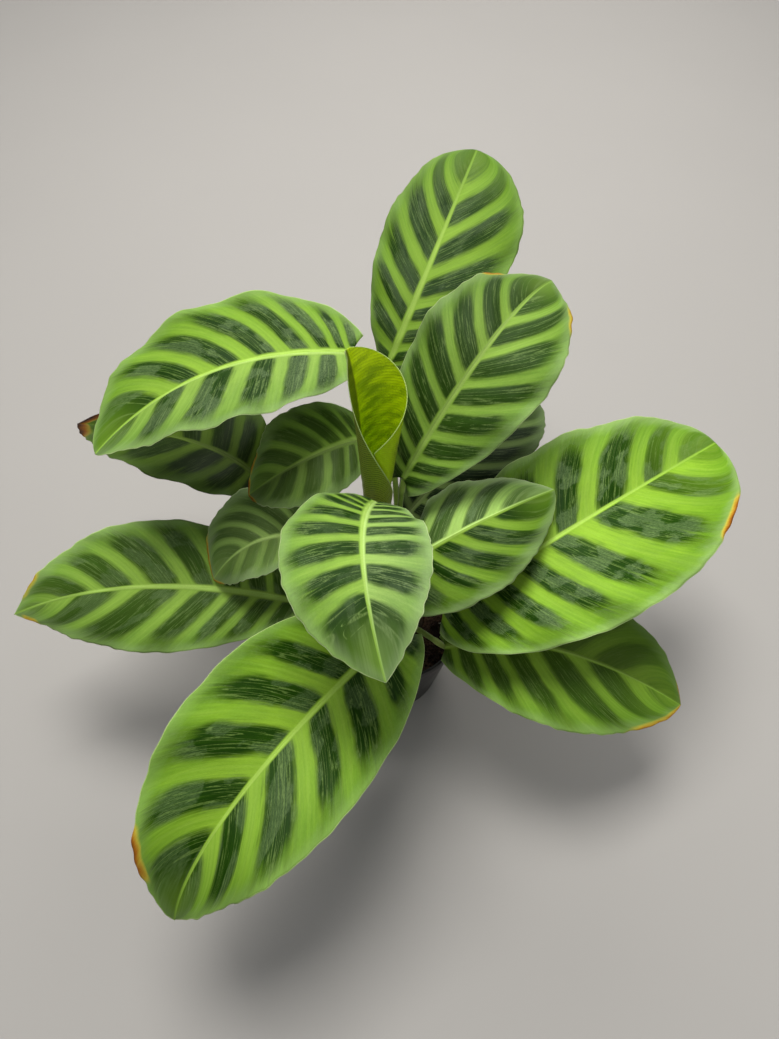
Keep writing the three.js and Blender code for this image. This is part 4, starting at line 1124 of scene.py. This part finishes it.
def mix_material(name, dark, pale):
    """Potting mix: matt peat and composted bark, in dark damp crumbs with paler dry fibres."""
    material, add = new_material(name)
    place = add("TexCoord").outputs["Object"]
    # Crumbs of 2.4 mm with a grain of 1.4 mm, drier in clouds of 17 mm.
    crumb = add("TexVoronoi", {"Vector": place, "Scale": 420.0})
    grain = add("TexNoise", {"Vector": place, "Scale": 700.0, "Detail": 6.0, "Roughness": 0.7})
    cloud = add("TexNoise", {"Vector": place, "Scale": 60.0, "Detail": 4.0})
    shade = add("Math", {0: crumb.outputs[0], 1: 0.6, 2: grain}, operation="MULTIPLY_ADD")
    dry = add("MapRange", {"Value": add("Math", {0: shade, 1: cloud}, operation="MULTIPLY"),
                           "From Min": 0.3, "From Max": 0.62}, **SMOOTH)
    colour = add("Mix", {0: dry, 6: dark, 7: pale}, **COLOUR)
    bump = add("Bump", {"Height": shade, "Strength": 0.8, "Distance": 0.001})
    shader = add("BsdfPrincipled", {"Base Color": colour, "Roughness": 0.92, "Normal": bump,
                                    "Specular IOR Level": 0.3})
    add("OutputMaterial", {0: shader})
    return material


def papery_material(name, colour, dark):
    """Dry leaf sheath: papery brown, matt, streaked along its length."""
    material, add = new_material(name)
    place = add("TexCoord").outputs["Object"]
    # Fibres 1 mm wide and 14 mm long, in clouds of 8 mm.
    long_place = add("Mapping", {0: place, "Scale": (1100, 1100, 70)})
    fibres = add("TexNoise", {"Vector": long_place, "Scale": 1.0, "Detail": 4.0})
    cloud = add("TexNoise", {"Vector": place, "Scale": 130.0, "Detail": 4.0})
    streak = add("MapRange", {"Value": add("Math", {0: fibres, 1: cloud}, operation="ADD"),
                              "From Min": 0.75, "From Max": 1.25})
    mixed = add("Mix", {0: streak, 6: colour, 7: dark}, **COLOUR)
    bump = add("Bump", {"Height": fibres, "Strength": 0.6, "Distance": 0.0004})
    shader = add("BsdfPrincipled", {"Base Color": mixed, "Roughness": 0.75, "Normal": bump})
    add("OutputMaterial", {0: shader})
    return material


class CalatheaPot(bpy.types.Operator):
    """Adds the tapered nursery pot with its rim band, foot and drainage holes"""
    bl_idname = "calathea.pot"
    bl_label = "Pot"

    def execute(self, context):
        inner = RIM_RADIUS - RIM_THICKNESS
        profile = [
            (0, 0), (FOOT_CHANNEL_INNER, 0), (FOOT_CHANNEL_INNER + 1, FOOT_CHANNEL_DEPTH),
            (FOOT_CHANNEL_OUTER - 1, FOOT_CHANNEL_DEPTH), (FOOT_CHANNEL_OUTER, 0),
            (POT_FOOT_RADIUS - 1.2, 0), (POT_FOOT_RADIUS - 0.5, 0.2), (POT_FOOT_RADIUS, 1),
        ]
        for share, step in ((0.3, 0), (0.31, WALL_STEP), (0.6, 0), (0.95, 0), (1, 0)):
            radius = POT_FOOT_RADIUS + (POT_TOP_RADIUS - POT_FOOT_RADIUS) * share
            profile.append((radius + step, 1 + (RIM_BOTTOM - 1) * share))
        profile += [
            (RIM_RADIUS - 0.8, RIM_BOTTOM), (RIM_RADIUS - 0.2, RIM_BOTTOM + 0.2),
            (RIM_RADIUS, RIM_BOTTOM + 0.8), (RIM_RADIUS, POT_HEIGHT - 1),
            (RIM_RADIUS - 0.3, POT_HEIGHT - 0.3), (RIM_RADIUS - 1, POT_HEIGHT),
            (RIM_RADIUS - 1.7, POT_HEIGHT), (inner + 0.2, POT_HEIGHT - 0.3), (inner, POT_HEIGHT - 1),
            (inner, RIM_BOTTOM + 2), (POT_TOP_RADIUS - POT_WALL, RIM_BOTTOM),
            (POT_FOOT_RADIUS - POT_WALL, FLOOR_TOP), (0, FLOOR_TOP),
        ]
        points, faces = turned(profile, context.scene.calathea_pot_sizes.sides)
        material = pot_material(context.scene.calathea_colours.pot)
        obj = add_piece("nursery_pot", points, faces, material, ["pot"])
        angles = [2 * math.pi * (hole + 0.5) / DRAIN_HOLES for hole in range(DRAIN_HOLES)]
        cut_round_holes(obj, [(DRAIN_HOLE_PLACE * math.cos(a), DRAIN_HOLE_PLACE * math.sin(a),
                               DRAIN_HOLE_RADIUS, -1, FLOOR_TOP + 2.5) for a in angles])
        obj.data.set_sharp_from_angle(angle=math.radians(38))
        return {"FINISHED"}


def inside_wall(height):
    """Radius of the soil at a height, just inside the pot's wall."""
    return POT_FOOT_RADIUS - POT_WALL - 2 * CLEARANCE + WALL_SLOPE * height


def soil_top(x, y):
    """Height of the soil's surface at a place, in millimetres."""
    return SOIL_LEVEL + SOIL_LUMP * lumps(x, y) + SOIL_ROUGHNESS * rough_height(x, y, 5, 3.1)


class CalatheaSoil(bpy.types.Operator):
    """Adds the plug of potting mix, and the loose crumbs and perlite on it"""
    bl_idname = "calathea.soil"
    bl_label = "Soil"

    def execute(self, context):
        sizes = context.scene.calathea_pot_sizes
        colours = context.scene.calathea_colours
        hole = CROWN_RADIUS + CLEARANCE
        rim = inside_wall(SOIL_LEVEL - 4)
        rings = [(rim + (hole - rim) * share, SOIL_LEVEL) for share in np.linspace(0, 1, SOIL_RINGS)]
        profile = [(0, SOIL_BOTTOM), (inside_wall(0) - 1, SOIL_BOTTOM),
                   (inside_wall(SOIL_LEVEL - 6), SOIL_LEVEL - 6), *rings,
                   (hole, CROWN_BOTTOM - CLEARANCE), (0, CROWN_BOTTOM - CLEARANCE)]
        points, faces = turned(profile, SOIL_SIDES)
        for point in points:
            if point[2] >= SOIL_LEVEL:
                point[2] = soil_top(point[0], point[1])
        material = mix_material("peat_potting_mix", colours.soil, colours.soil_pale)
        add_piece("potting_mix", points, faces, material, ["soil"])

        rng = random.Random(11)
        crumb = mix_material("bark_crumbs", colours.soil, colours.soil_pale)
        self.scatter("soil_crumbs", sizes.crumbs, sizes.crumb_size / MM, rng, crumb, "soil")
        self.scatter("perlite", sizes.perlite, sizes.perlite_size / MM, rng,
                     self.perlite_material(colours.perlite), "soil")
        return {"FINISHED"}

    def perlite_material(self, colour):
        """Expanded perlite: chalk white, matt and pitted, with a brown film of peat."""
        material, add = new_material("expanded_perlite")
        place = add("TexCoord").outputs["Object"]
        # Pits of 0.7 mm and stains of 2 mm.
        pits = add("TexVoronoi", {"Vector": place, "Scale": 1500.0})
        stain = add("TexNoise", {"Vector": place, "Scale": 500.0, "Detail": 3.0})
        stained = add("MapRange", {"Value": stain, "From Min": 0.45, "From Max": 0.8, "To Max": 0.6})
        mixed = add("Mix", {0: stained, 6: colour, 7: linear("#6b5643")}, **COLOUR)
        bump = add("Bump", {"Height": pits, "Strength": 0.6, "Distance": 0.0004})
        shader = add("BsdfPrincipled", {"Base Color": mixed, "Roughness": 0.95, "Normal": bump})
        add("OutputMaterial", {0: shader})
        return material

    def scatter(self, name, count, size, rng, material, slot):
        """Loose grains that lie on the soil between the crown and the wall, half sunk."""
        n = GRAIN_SIDES
        step = 2 * math.pi / n
        shell = [(0, 0, 1), (0, 0, -1)] + [
            (math.cos(step * i + turn) * 0.85, math.sin(step * i + turn) * 0.85, high)
            for high, turn in ((0.45, 0), (-0.45, step / 2)) for i in range(n)]
        cap = [(0, 2 + i, 2 + (i + 1) % n) for i in range(n)]
        foot = [(1, 2 + n + (i + 1) % n, 2 + n + i) for i in range(n)]
        belt = [(2 + i, 2 + n + i, 2 + (i + 1) % n) for i in range(n)]
        belt += [(2 + n + i, 2 + n + (i + 1) % n, 2 + (i + 1) % n) for i in range(n)]
        points = []
        faces = []
        for _ in range(count):
            bearing = rng.uniform(0, 2 * math.pi)
            place = rng.uniform(CROWN_RADIUS + 2, inside_wall(SOIL_LEVEL) - 3)
            x, y = place * math.cos(bearing), place * math.sin(bearing)
            wide = size * rng.uniform(0.5, 1.7)
            long, flat, turn = rng.uniform(0.8, 1.8), rng.uniform(0.45, 0.9), rng.uniform(0, math.pi)
            height = soil_top(x, y) + 0.25 * wide * flat
            start = len(points)
            for px, py, pz in shell:
                shake = rng.uniform(0.75, 1.2)
                px, py, pz = px * long * shake * wide, py * shake * wide, pz * flat * shake * wide
                points.append((x + px * math.cos(turn) - py * math.sin(turn),
                               y + px * math.sin(turn) + py * math.cos(turn), height + pz))
            faces += [tuple(start + corner for corner in face) for face in cap + foot + belt]
        add_piece(name, points, faces, material, smooth=False)


class CalatheaCrown(bpy.types.Operator):
    """Adds the clump of old leaf bases that the stalks stand in, and its dry sheaths"""
    bl_idname = "calathea.crown"
    bl_label = "Crown"

    def execute(self, context):
        colours = context.scene.calathea_colours
        rise = CROWN_TOP - CROWN_EDGE_TOP
        shares = np.linspace(1, 0.04, CROWN_RINGS)
        profile = [(0, CROWN_BOTTOM), (CROWN_RADIUS, CROWN_BOTTOM), (CROWN_RADIUS, CROWN_EDGE_TOP - 7)]
        profile += [(CROWN_RADIUS * share, CROWN_EDGE_TOP + rise * (1 - share ** 2)) for share in shares]
        profile += [(0, CROWN_TOP)]
        points, faces = turned(profile, CROWN_SIDES)
        roots = [leaf["root"] for leaf in OPEN_LEAVES.values()] + [ROLLED["root"]]
        for point in points:
            x, y, z = point
            if z < CROWN_EDGE_TOP:
                continue
            nearest = min(math.hypot(x - rx, y - ry) for rx, ry in roots)
            collar = COLLAR_RISE * math.exp(-((nearest - COLLAR_RADIUS) / COLLAR_SPREAD) ** 2)
            uneven = 0.5 * SOIL_LUMP * lumps(x, y) + CROWN_ROUGHNESS * rough_height(x, y, 3, 9.7)
            point[2] = z + uneven + collar
        material = papery_material("old_leaf_bases", colours.crown, colours.soil)
        obj = add_piece("rhizome_crown", points, faces, material, ["crown"])
        hole = STALK_BOTTOM_RADIUS + CLEARANCE
        cut_round_holes(obj, [(x, y, hole, STALK_FOOT - CLEARANCE, CROWN_TOP + 10) for x, y in roots])
        self.add_sheaths(roots, papery_material("dry_sheath", colours.sheath, colours.crown))
        return {"FINISHED"}

    def add_sheaths(self, roots, material):
        """Papery sheaths, each a tapering strip that wraps the outer side of a stalk's foot."""
        rng = random.Random(5)
        rows, columns = 14, 12
        points = []
        faces = []
        for x, y in roots:
            if math.hypot(x, y) < LEAST_SHEATH_PLACE:
                continue
            height = rng.uniform(16, 34)
            facing = math.atan2(y, x) + rng.uniform(-0.4, 0.4)
            wrap = rng.uniform(1.2, 1.9)
            upper, lower = [], []
            for row in range(rows):
                share = row / (rows - 1)
                half = wrap * (1 - share ** 2.2) + 0.06
                radius = SHEATH_RADIUS + SHEATH_FLARE * share ** 2
                level = SOIL_LEVEL + height * share
                for column in range(columns):
                    across = 2 * column / (columns - 1) - 1
                    angle = facing + half * across
                    wave = 0.25 * math.sin(9 * share + 4 * across + x)
                    for side, store in ((1, upper), (-1, lower)):
                        wide = radius + wave + side * SHEATH_HALF_THICKNESS
                        store.append((x + wide * math.cos(angle), y + wide * math.sin(angle), level))
            start = len(points)
            points += upper + lower
            faces += (sheet_faces(rows, columns)[:, ::-1] + start).tolist()
        add_piece("dry_sheaths", points, faces, material)


class CalatheaStage(bpy.types.Operator):
    """Adds the plain floor, the soft lights, the surroundings and the camera"""
    bl_idname = "calathea.stage"
    bl_label = "Stage"

    def execute(self, context):
        scene = context.scene
        mesh = bpy.data.meshes.new("floor")
        corners = ((-1, -1), (1, -1), (1, 1), (-1, 1))
        mesh.from_pydata([(x * FLOOR_REACH, y * FLOOR_REACH, 0) for x, y in corners], [], [(0, 1, 2, 3)])
        material, add = new_material("matt_floor_paint")
        place = add("TexCoord").outputs["Object"]
        cloud = add("TexNoise", {"Vector": place, "Scale": 3.0, "Detail": 3.0})
        value = add("Math", {0: cloud, 1: 0.06, 2: 0.97}, operation="MULTIPLY_ADD")
        shade = add("HueSaturation", {"Color": scene.calathea_colours.floor, "Value": value})
        add("OutputMaterial", {0: add("BsdfPrincipled", {"Base Color": shade, "Roughness": 0.7})})
        mesh.materials.append(material)
        floor = bpy.data.objects.new("floor", mesh)
        scene.collection.objects.link(floor)

        world = bpy.data.worlds.new("soft_room")
        world.use_nodes = True
        world.node_tree.nodes.clear()
        add = functools.partial(add_node, world.node_tree)
        height = add("SeparateXYZ", {0: add("TexCoord").outputs["Generated"]}).outputs[2]
        glow = add("MapRange", {"Value": height, "From Min": 0.0, "From Max": 0.9, "To Min": 0.08,
                                "To Max": 0.33})
        add("OutputWorld", {0: add("Background", {0: (0.94, 0.97, 1.0), 1: glow})})
        scene.world = world
        for softbox in SOFTBOXES:
            self.add_softbox(*softbox)

        camera = bpy.data.cameras.new("camera")
        camera.lens = CAMERA_LENS
        camera.sensor_width = SENSOR_WIDTH
        camera.sensor_fit = "AUTO"
        camera.clip_start = 0.01
        camera_object = bpy.data.objects.new("camera", camera)
        camera_object.location = CAMERA_PLACE
        camera_object.rotation_euler = (math.radians(CAMERA_TILT), 0, 0)
        scene.collection.objects.link(camera_object)
        scene.camera = camera_object
        scene.view_settings.view_transform = "Standard"
        return {"FINISHED"}

    def add_softbox(self, name, place, size, power, colour):
        light = bpy.data.lights.new(name, "AREA")
        light.size = size
        light.energy = power
        light.color = colour
        box = bpy.data.objects.new(name, light)
        box.location = place
        box.rotation_euler = (Vector(LIT_PLACE) - Vector(place)).to_track_quat("-Z", "Y").to_euler()
        bpy.context.scene.collection.objects.link(box)


OPERATORS = (CalatheaPot, CalatheaSoil, CalatheaCrown, CalatheaStalks, CalatheaOpenLeaves,
             CalatheaRolledLeaf, CalatheaStage)


class CalatheaPanel(bpy.types.Panel):
    """Lists the sizes, the colours and the pieces of the plant"""
    bl_idname = "VIEW3D_PT_calathea"
    bl_label = "Potted calathea"
    bl_space_type = "VIEW_3D"
    bl_region_type = "UI"
    bl_category = "Calathea"

    def draw(self, context):
        layout = self.layout
        scene = context.scene
        for group in (scene.calathea_leaf_sizes, scene.calathea_pot_sizes, scene.calathea_colours):
            box = layout.box()
            for name in group.__annotations__:
                box.prop(group, name)
        for operator in OPERATORS:
            layout.operator(operator.bl_idname)


CLASSES = (CalatheaLeafSizes, CalatheaPotSizes, CalatheaColours, *OPERATORS, CalatheaPanel)


def register():
    for cls in CLASSES:
        bpy.utils.register_class(cls)
    bpy.types.Scene.calathea_leaf_sizes = PointerProperty(type=CalatheaLeafSizes)
    bpy.types.Scene.calathea_pot_sizes = PointerProperty(type=CalatheaPotSizes)
    bpy.types.Scene.calathea_colours = PointerProperty(type=CalatheaColours)


def unregister():
    del bpy.types.Scene.calathea_colours
    del bpy.types.Scene.calathea_pot_sizes
    del bpy.types.Scene.calathea_leaf_sizes
    for cls in reversed(CLASSES):
        bpy.utils.unregister_class(cls)


def main():
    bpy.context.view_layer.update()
    register()
    bpy.ops.calathea.pot()
    bpy.ops.calathea.soil()
    bpy.ops.calathea.crown()
    bpy.ops.calathea.stalks()
    bpy.ops.calathea.open_leaves()
    bpy.ops.calathea.rolled_leaf()
    bpy.ops.calathea.stage()


if __name__ == "__main__":
    main()
